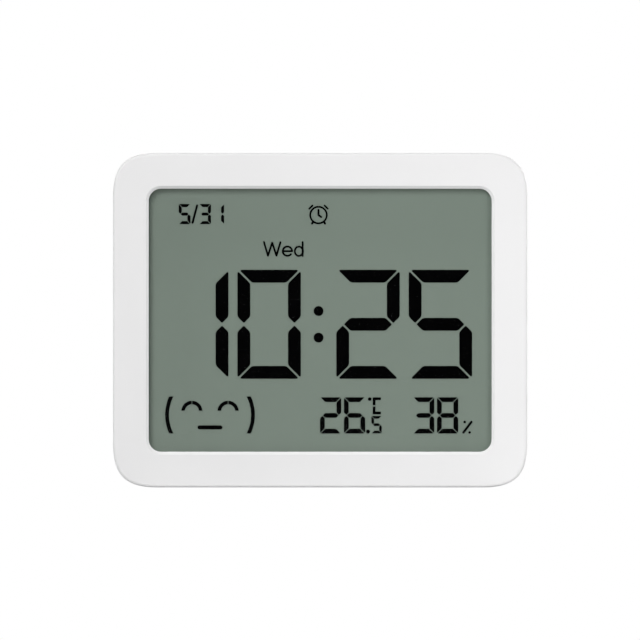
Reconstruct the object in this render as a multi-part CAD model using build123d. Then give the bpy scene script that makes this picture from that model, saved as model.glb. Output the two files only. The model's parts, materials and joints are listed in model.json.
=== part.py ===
from build123d import *

# A desk clock that also shows the room's temperature and humidity, with a reflective segment display.
# Millimetres. X runs across the clock, the front faces -Y and Z is up. The clock stands on Z = 0 and
# Y = 0 is the middle of its depth. Sketches are drawn as seen from the front, about the middle of the case.

import os
from collections import namedtuple
from math import cos, hypot, pi, radians, sin

os.makedirs("parts", exist_ok=True)

# Case
CASE_WIDTH = 100.0
CASE_HEIGHT = 80.7
CASE_WALL = 1.8
CORNER_REACH = 10.6
CORNER_PULL_SHARE = 0.72
FRONT_EDGE_RADIUS = 0.6
REAR_EDGE_RADIUS = 1.6
BEZEL_THICKNESS = 1.6
BEZEL_SKIRT = 7.0
PARTING_GAP = 0.2
TONGUE_LENGTH = 1.4
TONGUE_THICKNESS = 0.8
FIT_GAP = 0.1
OVERRUN = 1.0

# Window in the bezel. The frame round it is as wide as the wall, a screw boss and the lens's margin,
# with a gap on each side of the boss.
WINDOW_RADIUS = 3.0
WINDOW_BEVEL = 0.68
BOSS_DIAMETER = 4.6
BOSS_GAP = 0.3
RIB_THICKNESS = 1.6
LENS_MARGIN = 1.8

# Display, from the front to the back
ADHESIVE_THICKNESS = 0.15
ADHESIVE_INSET = 0.4
LENS_THICKNESS = 1.0
LENS_RADIUS = 2.0
LENS_GAP = 0.1
FILM_THICKNESS = 0.2
FILM_INSET = 0.3
GLASS_THICKNESS = 0.55
GLASS_MARGIN = 0.9
CELL_GAP = 0.1
INK_THICKNESS = 0.06
SEAL_WIDTH = 0.7
LEDGE_HEIGHT = 2.0
CONNECTOR_INSET = 6.3
CONNECTOR_THICKNESS = 1.4
HOLDER_PLATE = 1.2
HOLDER_RIM = 0.9
HOLDER_CORNER = 3.0
EAR_RISE = 16.0
EAR_HEIGHT = 5.2

# Circuit board
BOARD_SIDE_GAP = 1.3
BOARD_EDGE_GAP = 0.25
BOARD_THICKNESS = 1.2
BOARD_STANDOFF = 1.2
BOARD_CORNER = 3.0
BOARD_SCREW_INSET = 11.0
BOARD_BOSS_DIAMETER = 2.8

# Screws: those of the housing, of the display holder and of the board
HOUSING_HEAD_DIAMETER = 4.2
HOUSING_HEAD_HEIGHT = 1.4
HOUSING_SHANK_DIAMETER = 2.2
HOUSING_SCREW_LENGTH = 8.0
HOLDER_HEAD_DIAMETER = 3.2
HOLDER_HEAD_HEIGHT = 1.1
HOLDER_SHANK_DIAMETER = 1.6
HOLDER_SCREW_LENGTH = 3.5
BOARD_HEAD_DIAMETER = 2.8
BOARD_HEAD_HEIGHT = 1.0
BOARD_SHANK_DIAMETER = 1.4
BOARD_SCREW_LENGTH = 5.4
Screw = namedtuple("Screw", "head_diameter head_height shank_diameter length")
HOUSING_SCREW = Screw(
    HOUSING_HEAD_DIAMETER, HOUSING_HEAD_HEIGHT, HOUSING_SHANK_DIAMETER, HOUSING_SCREW_LENGTH
)
HOLDER_SCREW = Screw(
    HOLDER_HEAD_DIAMETER, HOLDER_HEAD_HEIGHT, HOLDER_SHANK_DIAMETER, HOLDER_SCREW_LENGTH
)
BOARD_SCREW = Screw(BOARD_HEAD_DIAMETER, BOARD_HEAD_HEIGHT, BOARD_SHANK_DIAMETER, BOARD_SCREW_LENGTH)
CROSS_SPAN_SHARE = 0.62
CROSS_WIDTH_SHARE = 0.15
CROSS_DEPTH_SHARE = 0.55
HEAD_DOME_SHARE = 0.35
TIP_CHAMFER_SHARE = 0.25
SHANK_GAP = 0.02
PILOT_SPARE = 0.25
SCREW_HOLE_GAP = 0.2

# Screw wells in the rear housing
WELL_HEAD_GAP = 0.3
WELL_WALL = 1.1
WELL_DEPTH = 7.4
WELL_FLOOR = 1.55
WELL_FROM_END = 7.7
WELL_TO_BAY_GAP = 0.25

# Batteries and their bay
CELL_DIAMETER = 10.5
CELL_LENGTH = 44.5
CELL_EDGE_RADIUS = 0.5
CELL_SPACING = 0.4
CELL_SIDE_GAP = 0.4
CELL_DEPTH_GAP = 0.15
NUB_DIAMETER = 3.8
NUB_HEIGHT = 0.9
JACKET_THICKNESS = 0.13
JACKET_END_GAP = 0.35
JACKET_SLIP = 0.02
BAY_WALL = 1.2
BAY_FLOOR = 1.1
BAY_TO_BOARD_GAP = 0.25

# Battery contacts
CONTACT_THICKNESS = 0.4
CONTACT_WIDTH = 8.0
CONTACT_HEIGHT = 7.0
CONTACT_CORNER = 1.2
DIMPLE_DIAMETER = 3.0
DIMPLE_HEIGHT = 0.6
TAIL_WIDTH = 2.0
TAIL_OFFSET = 2.5
TAIL_END = 0.5
TAIL_SLOT_GAP = 0.3
SPRING_LENGTH = 5.9
SPRING_WIRE = 0.6
SPRING_BASE_RADIUS = 3.2
SPRING_TIP_RADIUS = 1.9
SPRING_HALF_TURNS = 9
SPRING_SEAT_GAP = 0.03

# Battery door
DOOR_OVERLAP = 1.0
DOOR_GAP = 0.15
DOOR_SEAT_GAP = 0.05
DOOR_CORNER = 1.5
HOOK_WIDTH = 2.5
HOOK_SPREAD = 4.4
HOOK_GAP = 0.3
HOOK_THICKNESS = 1.2
HOOK_REACH = 1.4
HOOK_SWING_GAP = 0.2
TONGUE_WIDTH = 6.0
TONGUE_DEPTH = 2.2
TONGUE_INSET = 0.15
TONGUE_SLIP = 0.05
GRIP_WIDTH = 12.0
GRIP_DEPTH = 0.6
GRIP_LINE = 0.8
GRIP_PITCH = 1.8
GRIP_LINES = 4
GRIP_FROM_TOP = 3.4

# Fold-out stand. It takes the width that the bay leaves, and its pivots lie a set way below the top.
STAND_FROM_TOP = 30.7
STAND_TO_BAY_GAP = 1.05
LEG_THICKNESS = 3.0
LEG_TAPER = 2.0
LEG_CORNER = 2.5
LEG_SLOT_SIDE = 3.5
LEG_SLOT_HEIGHT = 22.0
LEG_SLOT_DEPTH = 1.2
LEG_SLOT_CORNER = 1.2
STAND_FLOOR = 2.5
STAND_STOP = 36.0
STAND_GAP = 0.4
STAND_ROOF_GAP = 0.3
STAND_FOOT_RISE = 5.2
RECESS_WALL = 1.2
RECESS_FLOOR = 1.2
PIVOT_DIAMETER = 2.0
PIVOT_LENGTH = 1.6
PIVOT_GAP = 0.06
PIVOT_END_GAP = 0.3
PIVOT_BLOCK = 2.4
PAD_INSET = 2.5
PAD_THICKNESS = 1.8
PAD_HEIGHT = 1.0
FINGER_WIDTH = 12.0
FINGER_HEIGHT = 2.2
FINGER_DEPTH = 2.4

# Keyhole for hanging the clock on a wall screw
KEYHOLE_DIAMETER = 8.0
KEYHOLE_SLOT = 3.8
KEYHOLE_RISE = 8.5
KEYHOLE_MARGIN = 1.2
KEYHOLE_DEPTH = 5.8
KEYHOLE_WALL = 1.0

# Rear buttons and their switches
BUTTON_NAMES = ("set", "plus", "minus")
BUTTON_FROM_WALL = 25.2
BUTTON_FROM_TOP = 9.0
BUTTON_PITCH = 11.0
BUTTON_DIAMETER = 7.0
BUTTON_OUT = 0.8
BUTTON_TRAVEL = 0.5
BUTTON_EDGE = 0.35
BUTTON_GAP = 0.1
FLANGE_DIAMETER = 9.0
FLANGE_THICKNESS = 0.8
GUIDE_WALL = 0.8
GUIDE_DEPTH = 2.8
STEM_DIAMETER = 3.0
MARK_SPAN = 3.4
MARK_LINE = 0.6
MARK_DEPTH = 0.25
SWITCH_SIDE = 6.0
SWITCH_HEIGHT = 3.5
SWITCH_CORNER = 0.6
PLUNGER_DIAMETER = 3.4
PLUNGER_TOP = 5.0
PLUNGER_BOTTOM = 1.2
PLUNGER_GAP = 0.08

# Sensor, its chamber and vents
SENSOR_FROM_WALL = 13.4
SENSOR_FROM_TOP = 20.0
SENSOR_SIDE = 3.0
SENSOR_HEIGHT = 1.1
SENSOR_PORT = 1.0
SENSOR_PORT_DEPTH = 0.4
CHAMBER_WIDTH = 10.0
CHAMBER_HEIGHT = 9.0
CHAMBER_WALL = 1.0
FOAM_THICKNESS = 1.5
FOAM_WIDTH = 1.6
VENT_WIDTH = 1.2
VENT_HEIGHT = 8.0
VENT_PITCH = 2.3
VENT_COUNT = 4

# Alarm sounder
SOUNDER_FROM_WALL = 17.2
SOUNDER_FROM_FLOOR = 13.25
SOUNDER_DIAMETER = 18.0
SOUNDER_PLATE = 0.25
CERAMIC_DIAMETER = 12.0
CERAMIC_THICKNESS = 0.2
SEAT_HEIGHT = 1.2
SEAT_LEDGE = 0.8
SEAT_WALL = 1.0
SOUND_HOLE = 1.3
SOUND_RING_RADIUS = 3.2
SOUND_RING_HOLES = 6
LEAD_DIAMETER = 0.8
LEAD_SPREAD = 2.0
LEAD_BEND = 2.6
LEAD_SWAY = 4.0
SOLDER_DIAMETER = 1.6
SOLDER_HEIGHT = 0.5

# Board pieces
CHIP_RADIUS = 5.5
CHIP_HEIGHT = 1.4
CHIP_RISE = 7.0
CRYSTAL_DIAMETER = 2.0
CRYSTAL_LENGTH = 6.0
CAN_EDGE_SHARE = 0.125
SMALL_LENGTH = 2.0
SMALL_WIDTH = 1.25
SMALL_HEIGHT = 0.6

# Places on the board, as shares of the way from the bay to the switches and of half the board's height
CRYSTAL_SHARE = (0.76, -0.157)
SMALL_PLACE_SHARES = (
    (0.12, 0.42), (0.12, 0.30), (0.12, 0.05), (0.12, -0.22), (0.36, -0.22), (0.60, -0.34),
    (0.80, 0.42), (0.80, 0.30), (0.90, -0.10), (0.90, -0.22), (0.12, -0.44), (0.36, -0.44),
)  # fmt: skip

# Segment digits. The time's digits fill the window's width between their margins and gaps.
TIME_LEFT_MARGIN = 3.95
TIME_RIGHT_MARGIN = 4.72
TIME_GAP = 2.18
TIME_MIDDLE_GAP = 8.57
TIME_STROKE = 3.09
READING_WIDTH = 5.12
READING_HEIGHT = 8.73
READING_STROKE = 1.14
READING_GAP = 0.66
DATE_WIDTH = 2.84
DATE_HEIGHT = 4.85
DATE_STROKE = 0.73
TENTHS_WIDTH = 2.5
TENTHS_HEIGHT = 4.19
TENTHS_STROKE = 0.64

# Shares of a digit's stroke: the mitre gaps along the bar and along the post from the digit's corner,
# the gap at the middle, and the radii of the inner and outer corners
TIME_MITRE_SHARES = (0.13, 0.07, 0.1, 0.42, 0.08)
READING_MITRE_SHARES = (0.13, 0.09, 0.1, 0.28, 0.08)
SMALL_MITRE_SHARES = (0.14, 0.1, 0.13, 0.2, 0.08)
LIT_SEGMENTS = {
    "0": "abcdef", "1": "bc", "2": "abged", "3": "abgcd", "5": "afgcd", "6": "afgedc", "8": "abcdefg",
}  # fmt: skip

# Places of the display's marks, as shares of half the window's width and half its height
TIME_TOP_SHARE = 0.3832
TIME_BOTTOM_SHARE = -0.4452
DATE_SHARE = (-0.7, 0.807)
WEEKDAY_SHARE = (-0.232, 0.542)
ALARM_SHARE = (-0.0097, 0.7995)
FACE_SHARE = (-0.6424, -0.7203)
TEMPERATURE_SHARE = (0.1308, -0.7238)
HUMIDITY_SHARE = (0.6733, -0.7238)
COLON_DIAMETER = 2.38
COLON_PITCH = 6.42

# Marks beside the digits, each drawn about its own middle
DATE_MONTH_LEFT = 3.75
DATE_DAY_PITCH = 3.17
DATE_DAY_MIDDLE = 2.78
DATE_SLASH_FOOT = (-1.83, -2.07)
DATE_SLASH_TOP = (-0.73, 2.06)
DATE_SLASH_WIDTH = 0.51
POINT_PLACE = (6.14, -3.9)
POINT_DIAMETER = 0.95
DEGREE_PLACE = (6.54, 3.95)
DEGREE_DIAMETER = 0.86
UNIT_PLACE = (8.26, 2.31)
UNIT_WIDTH = 1.97
UNIT_HEIGHT = 4.1
UNIT_STROKE = 0.66
UNIT_SPLIT = 0.34
TENTHS_PLACE = (8.2, -2.24)
PERCENT_SLASH_FOOT = (6.7, -4.14)
PERCENT_SLASH_TOP = (8.64, -1.56)
PERCENT_SLASH_WIDTH = 0.56
PERCENT_DOT_DIAMETER = 0.63
PERCENT_DOTS = ((7.02, -1.59), (8.2, -4.12))

# Weekday letters
LETTER_STROKE = 0.46
W_POINTS = ((-3.97, 1.66), (-3.0, -1.63), (-1.97, 1.51), (-0.95, -1.63), (0.01, 1.61))
E_PLACE = (1.7, -0.54)
LETTER_BOWL = 1.12
D_BOWL = 0.98
E_OPENING = 42.0
D_PLACE = (4.46, -0.56)
D_STEM = 0.91
D_TOP = 1.65

# Alarm sign
ALARM_RADIUS = 2.0
ALARM_STROKE = 0.44
ALARM_HAND_STROKE = 0.5
ALARM_HAND_TOP = 1.25
ALARM_HAND_SIDE = (0.65, -0.47)
BELL_LOW = (2.22, 1.54)
BELL_HIGH = (1.47, 2.29)
BELL_STROKE = 0.44
ALARM_FOOT = (1.57, -2.06)
ALARM_ANKLE = (1.3, -1.6)
ALARM_FOOT_STROKE = 0.5

# Comfort face
CHEEK_STROKE = 0.92
CHEEK_MIDDLE = 10.38
CHEEK_END = 9.11
CHEEK_RISE = 4.9
CHEEK_CUT = 4.46
EYE_SPREAD = 4.37
EYE_RADIUS = 2.13
EYE_STROKE = 0.86
EYE_RISE = 0.87
EYE_CUT = 0.17
EYE_SPLIT = 0.12
MOUTH_WIDTH = 6.0
MOUTH_STROKE = 0.96
MOUTH_DROP = 3.0

# Depths along Y, from the front face to the rear face
stack = (
    BEZEL_THICKNESS + ADHESIVE_THICKNESS + LENS_THICKNESS + LENS_GAP + 2 * FILM_THICKNESS
    + 2 * GLASS_THICKNESS + CELL_GAP + HOLDER_PLATE + BOARD_STANDOFF + BOARD_THICKNESS
)  # fmt: skip
case_depth = stack + BAY_TO_BOARD_GAP + BAY_FLOOR + CELL_DIAMETER + 2 * CELL_DEPTH_GAP + CASE_WALL
front_face = -case_depth / 2
bezel_back = front_face + BEZEL_THICKNESS
lens_front = bezel_back + ADHESIVE_THICKNESS
lens_back = lens_front + LENS_THICKNESS
polariser_front = lens_back + LENS_GAP
front_glass = polariser_front + FILM_THICKNESS
cell_front = front_glass + GLASS_THICKNESS
rear_glass = cell_front + CELL_GAP
reflector_front = rear_glass + GLASS_THICKNESS
holder_front = reflector_front + FILM_THICKNESS
holder_back = holder_front + HOLDER_PLATE
board_front = holder_back + BOARD_STANDOFF
board_back = board_front + BOARD_THICKNESS
bay_front = board_back + BAY_TO_BOARD_GAP
bay_floor = bay_front + BAY_FLOOR
rear_face = case_depth / 2
rear_inside = rear_face - CASE_WALL
parting = front_face + BEZEL_SKIRT
cell_axis = rear_inside - CELL_DEPTH_GAP - CELL_DIAMETER / 2

# Heights and widths, from the middle of the case
case_middle = CASE_HEIGHT / 2
inner_half_width = CASE_WIDTH / 2 - CASE_WALL
inner_half_height = CASE_HEIGHT / 2 - CASE_WALL
window_border = CASE_WALL + FIT_GAP + BOSS_DIAMETER + BOSS_GAP + LENS_MARGIN
window_width = CASE_WIDTH - 2 * window_border
window_height = CASE_HEIGHT - 2 * window_border
lens_width = window_width + 2 * LENS_MARGIN
lens_height = window_height + 2 * LENS_MARGIN
glass_width = window_width + 2 * GLASS_MARGIN
glass_height = window_height + 2 * GLASS_MARGIN
glass_bottom = -glass_height / 2 - LEDGE_HEIGHT
rim_width = glass_width + 2 * (FIT_GAP + HOLDER_RIM)
rim_top = glass_height / 2 + FIT_GAP + HOLDER_RIM
rim_bottom = glass_bottom - FIT_GAP - HOLDER_RIM
boss_side = inner_half_width - FIT_GAP - BOSS_DIAMETER / 2
well_diameter = HOUSING_HEAD_DIAMETER + 2 * WELL_HEAD_GAP
well_radius = well_diameter / 2 + WELL_WALL
well_side = boss_side - well_radius
housing_screw_rise = inner_half_height - WELL_FROM_END
well_seat = rear_face - WELL_DEPTH
well_end = well_seat - WELL_FLOOR
board_width = 2 * (well_side - BOARD_SIDE_GAP)
board_height = 2 * (inner_half_height - BOARD_EDGE_GAP)
board_screw_side = board_width / 2 - BOARD_SCREW_INSET
board_screw_rise = BOARD_BOSS_DIAMETER / 2 - rim_bottom

bay_width = 2 * CELL_DIAMETER + CELL_SPACING + 2 * CELL_SIDE_GAP
bay_height = CELL_LENGTH + SPRING_LENGTH + DIMPLE_HEIGHT + 2 * CONTACT_THICKNESS
bay_middle = WELL_TO_BAY_GAP + BAY_WALL + bay_width / 2 - well_side
bay_side = bay_middle + bay_width / 2 + BAY_WALL
cell_offset = (CELL_DIAMETER + CELL_SPACING) / 2
door_width = bay_width + 2 * DOOR_OVERLAP
door_height = bay_height + 2 * DOOR_OVERLAP
door_pivot = -door_height / 2 - DOOR_GAP

pivot_reach = STAND_GAP + PIVOT_LENGTH + PIVOT_END_GAP + RECESS_WALL / 2
leg_width = -2 * (bay_side + STAND_TO_BAY_GAP + pivot_reach)
leg_length = CASE_HEIGHT - STAND_FROM_TOP - STAND_FOOT_RISE
leg_axis_y = rear_face - LEG_THICKNESS / 2
leg_axis_v = case_middle - STAND_FROM_TOP
leg_half = LEG_THICKNESS / 2
leg_heel = (STAND_FLOOR - leg_half * cos(radians(STAND_STOP))) / sin(radians(STAND_STOP))
recess_floor = leg_axis_y - STAND_FLOOR
recess_top = leg_axis_v + hypot(leg_half, leg_heel) + STAND_ROOF_GAP
recess_bottom = leg_axis_v - leg_length - STAND_GAP
recess_width = leg_width + 2 * STAND_GAP
keyhole_v = recess_top + RECESS_WALL + KEYHOLE_WALL + KEYHOLE_MARGIN + KEYHOLE_DIAMETER / 2

button_u = inner_half_width - BUTTON_FROM_WALL
button_top = inner_half_height - BUTTON_FROM_TOP
button_places = [(button_u, button_top - step * BUTTON_PITCH) for step in range(len(BUTTON_NAMES))]
plunger_end = board_back + PLUNGER_TOP
flange_back = rear_inside - BUTTON_GAP
flange_front = flange_back - FLANGE_THICKNESS
sounder_place = (inner_half_width - SOUNDER_FROM_WALL, SOUNDER_FROM_FLOOR - inner_half_height)
sensor_place = (inner_half_width - SENSOR_FROM_WALL, inner_half_height - SENSOR_FROM_TOP)

housing_screw_places = [
    (side * boss_side, level * housing_screw_rise) for side in (-1, 1) for level in (-1, 1)
]
ear_places = [(side * boss_side, level * EAR_RISE) for side in (-1, 1) for level in (-1, 1)]
board_screw_places = [
    (side * board_screw_side, level * board_screw_rise) for side in (-1, 1) for level in (-1, 1)
]

# The display's digits
DigitSize = namedtuple("DigitSize", "width height stroke mitre_shares")
time_span = window_width - TIME_LEFT_MARGIN - TIME_RIGHT_MARGIN
time_width = (time_span - 2 * TIME_GAP - TIME_MIDDLE_GAP) / 4
time_height = (TIME_TOP_SHARE - TIME_BOTTOM_SHARE) * window_height / 2
time_middle = (
    (TIME_LEFT_MARGIN - TIME_RIGHT_MARGIN) / 2,
    (TIME_TOP_SHARE + TIME_BOTTOM_SHARE) / 2 * window_height / 2,
)
time_pitch = time_width + TIME_GAP
reading_pitch = READING_WIDTH + READING_GAP
time_digit = DigitSize(time_width, time_height, TIME_STROKE, TIME_MITRE_SHARES)
reading_digit = DigitSize(READING_WIDTH, READING_HEIGHT, READING_STROKE, READING_MITRE_SHARES)
date_digit = DigitSize(DATE_WIDTH, DATE_HEIGHT, DATE_STROKE, SMALL_MITRE_SHARES)
tenths_digit = DigitSize(TENTHS_WIDTH, TENTHS_HEIGHT, TENTHS_STROKE, SMALL_MITRE_SHARES)


def slab(sketch, front, back):
    """Solid between two depths from a sketch drawn about the middle of the case."""
    back_plane = Plane(origin=(0, back, case_middle), x_dir=(1, 0, 0), z_dir=(0, -1, 0))
    return extrude(back_plane * sketch, amount=back - front, dir=(0, -1, 0))


def rods(places, radius, front, back):
    """Round bars along the depth, one at each place."""
    return [slab(Pos(u, v) * Circle(radius), front, back) for u, v in places]


def box(left, right, bottom, top):
    """Rectangle by its four sides."""
    return Pos((left + right) / 2, (bottom + top) / 2) * Rectangle(right - left, top - bottom)


def bar(start, end, width):
    """Straight stroke with round ends."""
    line = Line(start, end)
    return SlotArc(line, width)


def arc_stroke(start, middle, end, width):
    """Curved stroke with round ends."""
    return SlotArc(ThreePointArc(start, middle, end), width)


def soft_rectangle(width, height, reach):
    """Rectangle whose corners ease into its sides."""
    right, top = width / 2, height / 2
    bend = reach * (1 - CORNER_PULL_SHARE)
    corners = []
    for across, up in ((1, 1), (-1, 1), (-1, -1), (1, -1)):
        points = [
            (across * right, up * (top - reach)),
            (across * right, up * (top - bend)),
            (across * (right - bend), up * top),
            (across * (right - reach), up * top),
        ]
        corners.append(Bezier(*(points if across == up else points[::-1])))
    sides = [Line(corner @ 1, after @ 0) for corner, after in zip(corners, corners[1:] + corners[:1])]
    return make_face([*corners, *sides])


def case_outline(inset):
    """Outline of the case, a set distance inside its outer face."""
    return soft_rectangle(CASE_WIDTH - 2 * inset, CASE_HEIGHT - 2 * inset, CORNER_REACH - inset)


def save(name, shapes):
    """Writes one named sub-part."""
    solids = [solid for shape in shapes for solid in shape.solids()]
    whole = solids[0] if len(solids) == 1 else Compound(solids)
    export_step(whole, f"parts/{name}.step")


def edges_at(part, depth):
    """Edges that lie flat at one depth."""
    return part.edges().filter_by_position(Axis.Y, depth, depth)


# Case


def front_bezel():
    """White frame with its bevelled window, its skirt and the bosses that take the screws."""
    frame = slab(case_outline(0), front_face, parting)
    frame = fillet(edges_at(frame, front_face), FRONT_EDGE_RADIUS)
    frame -= slab(case_outline(CASE_WALL), bezel_back, parting + OVERRUN)
    rebate = case_outline(CASE_WALL - TONGUE_THICKNESS - FIT_GAP)
    frame -= slab(rebate, parting - TONGUE_LENGTH - FIT_GAP, parting + OVERRUN)
    window = RectangleRounded(window_width, window_height, WINDOW_RADIUS)
    frame -= slab(window, front_face - OVERRUN, bezel_back + OVERRUN)
    rim_edges = [
        edge
        for edge in edges_at(frame, front_face)
        if abs(edge.center().X) < window_width / 2 + FIT_GAP
        and abs(edge.center().Z - case_middle) < window_height / 2 + FIT_GAP
    ]
    frame = chamfer(rim_edges, WINDOW_BEVEL)
    frame += rods(housing_screw_places, BOSS_DIAMETER / 2, bezel_back, well_end)
    frame += rods(ear_places, BOSS_DIAMETER / 2, bezel_back, holder_front)
    frame += boss_ribs()
    housing_pilot = HOUSING_SCREW.shank_diameter / 2 + SHANK_GAP
    housing_tip = well_seat - HOUSING_SCREW.length - PILOT_SPARE
    frame -= rods(housing_screw_places, housing_pilot, housing_tip, well_end + OVERRUN)
    ear_pilot = HOLDER_SCREW.shank_diameter / 2 + SHANK_GAP
    ear_tip = holder_back - HOLDER_SCREW.length - PILOT_SPARE
    frame -= rods(ear_places, ear_pilot, ear_tip, holder_front + OVERRUN)
    return frame


def boss_ribs():
    """Ribs that tie the bosses to the bezel's side walls."""
    ribs = []
    housing_end = parting - TONGUE_LENGTH - FIT_GAP
    for places, end in ((housing_screw_places, housing_end), (ear_places, holder_front)):
        for u, v in places:
            wall = inner_half_width + CASE_WALL / 2 if u > 0 else -inner_half_width - CASE_WALL / 2
            rib = box(min(u, wall), max(u, wall), v - RIB_THICKNESS / 2, v + RIB_THICKNESS / 2)
            ribs.append(slab(rib, bezel_back, end))
    return ribs


def bay_boxes():
    """Outer block and inner hollow of the battery bay."""
    outer = Pos(bay_middle, 0) * Rectangle(bay_width + 2 * BAY_WALL, bay_height + 2 * BAY_WALL)
    inner = Pos(bay_middle, 0) * Rectangle(bay_width, bay_height)
    return slab(outer, bay_front, rear_inside), slab(inner, bay_floor, rear_face)


def leg_outline(top, foot, gap):
    """Outline of the leg, tapered below its pivots, with a gap added at its sides."""
    half = leg_width / 2 + gap
    waist = leg_axis_v - LEG_THICKNESS
    sides = [(half, top), (half, waist), (half - LEG_TAPER, foot)]
    return make_face(Polyline(*sides, *[(-u, v) for u, v in sides[::-1]], close=True))


def recess_boxes():
    """Outer block, inner hollow and finger scoop of the recess that takes the folded stand."""
    wall_bottom = -inner_half_height - CASE_WALL / 2
    outer = leg_outline(recess_top + RECESS_WALL, wall_bottom, STAND_GAP + RECESS_WALL)
    inner = leg_outline(recess_top, recess_bottom, STAND_GAP)
    half = FINGER_WIDTH / 2
    outer += box(-half - RECESS_WALL, half + RECESS_WALL, wall_bottom, recess_bottom)
    finger = box(-half, half, recess_bottom - FINGER_HEIGHT, recess_bottom + STAND_GAP)
    finger = fillet(finger.vertices(), FINGER_HEIGHT / 2 - STAND_GAP)
    block = slab(outer, recess_floor - RECESS_FLOOR, rear_inside)
    scoop = slab(finger, rear_face - FINGER_DEPTH, rear_face)
    return block, slab(inner, recess_floor, rear_face), scoop


def pivot_bars(radius, length):
    """Round bars along the stand's axis, outward from both sides of the recess."""
    bars = []
    for side in (-1, 1):
        start = Plane(
            origin=(side * leg_width / 2, leg_axis_y, case_middle + leg_axis_v),
            x_dir=(0, 1, 0),
            z_dir=(side, 0, 0),
        )
        bars.append(extrude(start * Circle(radius), amount=length))
    return bars


def pivot_blocks():
    """Thick places in the recess's side walls, round the blind holes for the pivots."""
    reach = leg_width / 2 + pivot_reach
    blocks = []
    for side in (-1, 1):
        sketch = Pos(side * (recess_width / 2 + reach) / 2, leg_axis_v) * Rectangle(
            reach - recess_width / 2, 2 * PIVOT_BLOCK
        )
        blocks.append(slab(sketch, leg_axis_y - PIVOT_BLOCK, rear_inside))
    return blocks


def keyhole_boxes():
    """Pocket wall, pocket and the keyhole itself."""
    head = KEYHOLE_DIAMETER / 2 + KEYHOLE_MARGIN
    pocket = box(-head, head, keyhole_v - head, keyhole_v + KEYHOLE_RISE + head)
    wall = offset(pocket, KEYHOLE_WALL)
    hole = Pos(0, keyhole_v) * Circle(KEYHOLE_DIAMETER / 2)
    hole += bar((0, keyhole_v), (0, keyhole_v + KEYHOLE_RISE), KEYHOLE_SLOT)
    pocket_front = rear_inside - KEYHOLE_DEPTH
    return (
        slab(wall, pocket_front - KEYHOLE_WALL, rear_inside),
        slab(pocket, pocket_front, rear_inside),
        slab(hole, rear_inside - FIT_GAP, rear_face + OVERRUN),
    )


def door_notches():
    """Notches in the bay's end walls for the door's hooks and its tongue."""
    notches = []
    swing = hypot(CASE_WALL + HOOK_GAP + HOOK_THICKNESS, HOOK_REACH) + HOOK_SWING_GAP
    for side in (-1, 1):
        middle = bay_middle + side * HOOK_SPREAD / 2
        half = HOOK_WIDTH / 2 + DOOR_GAP
        low = -bay_height / 2 - BAY_WALL - OVERRUN
        end = box(middle - half, middle + half, low, FIT_GAP - bay_height / 2)
        notches.append(slab(end, rear_face - swing, rear_inside))
    half = TONGUE_WIDTH / 2 + DOOR_GAP
    low, high = bay_height / 2 - FIT_GAP, door_height / 2 + DOOR_GAP
    slot = box(bay_middle - half, bay_middle + half, low, high)
    notches.append(slab(slot, rear_inside - TONGUE_DEPTH - DOOR_GAP, rear_inside))
    return notches


def vents():
    """Slots that let the room's air reach the sensor."""
    u, v = sensor_place
    middle = (VENT_COUNT - 1) / 2
    shapes = []
    for step in range(VENT_COUNT):
        place = Pos(u + (step - middle) * VENT_PITCH, v)
        slot = place * SlotOverall(VENT_HEIGHT, VENT_WIDTH, rotation=90)
        shapes.append(slab(slot, rear_inside - OVERRUN, rear_face + OVERRUN))
    return shapes


def sound_holes():
    """One hole in the middle and a ring of holes in front of the sounder."""
    u, v = sounder_place
    places = [(u, v)]
    for step in range(SOUND_RING_HOLES):
        turn = 2 * pi * step / SOUND_RING_HOLES
        places.append((u + SOUND_RING_RADIUS * cos(turn), v + SOUND_RING_RADIUS * sin(turn)))
    return rods(places, SOUND_HOLE / 2, rear_inside - OVERRUN, rear_face + OVERRUN)


def tail_places():
    """Where the contacts' tails go through the bay's floor and the board."""
    v = bay_height / 2 - CONTACT_THICKNESS / 2
    return [(bay_middle + side * (cell_offset - TAIL_OFFSET), v) for side in (-1, 1)]


def tail_slots(front, back):
    """Slots for those tails."""
    slot = Rectangle(TAIL_WIDTH + 2 * TAIL_SLOT_GAP, CONTACT_THICKNESS + 2 * TAIL_SLOT_GAP)
    return [slab(Pos(u, v) * slot, front, back) for u, v in tail_places()]


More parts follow.
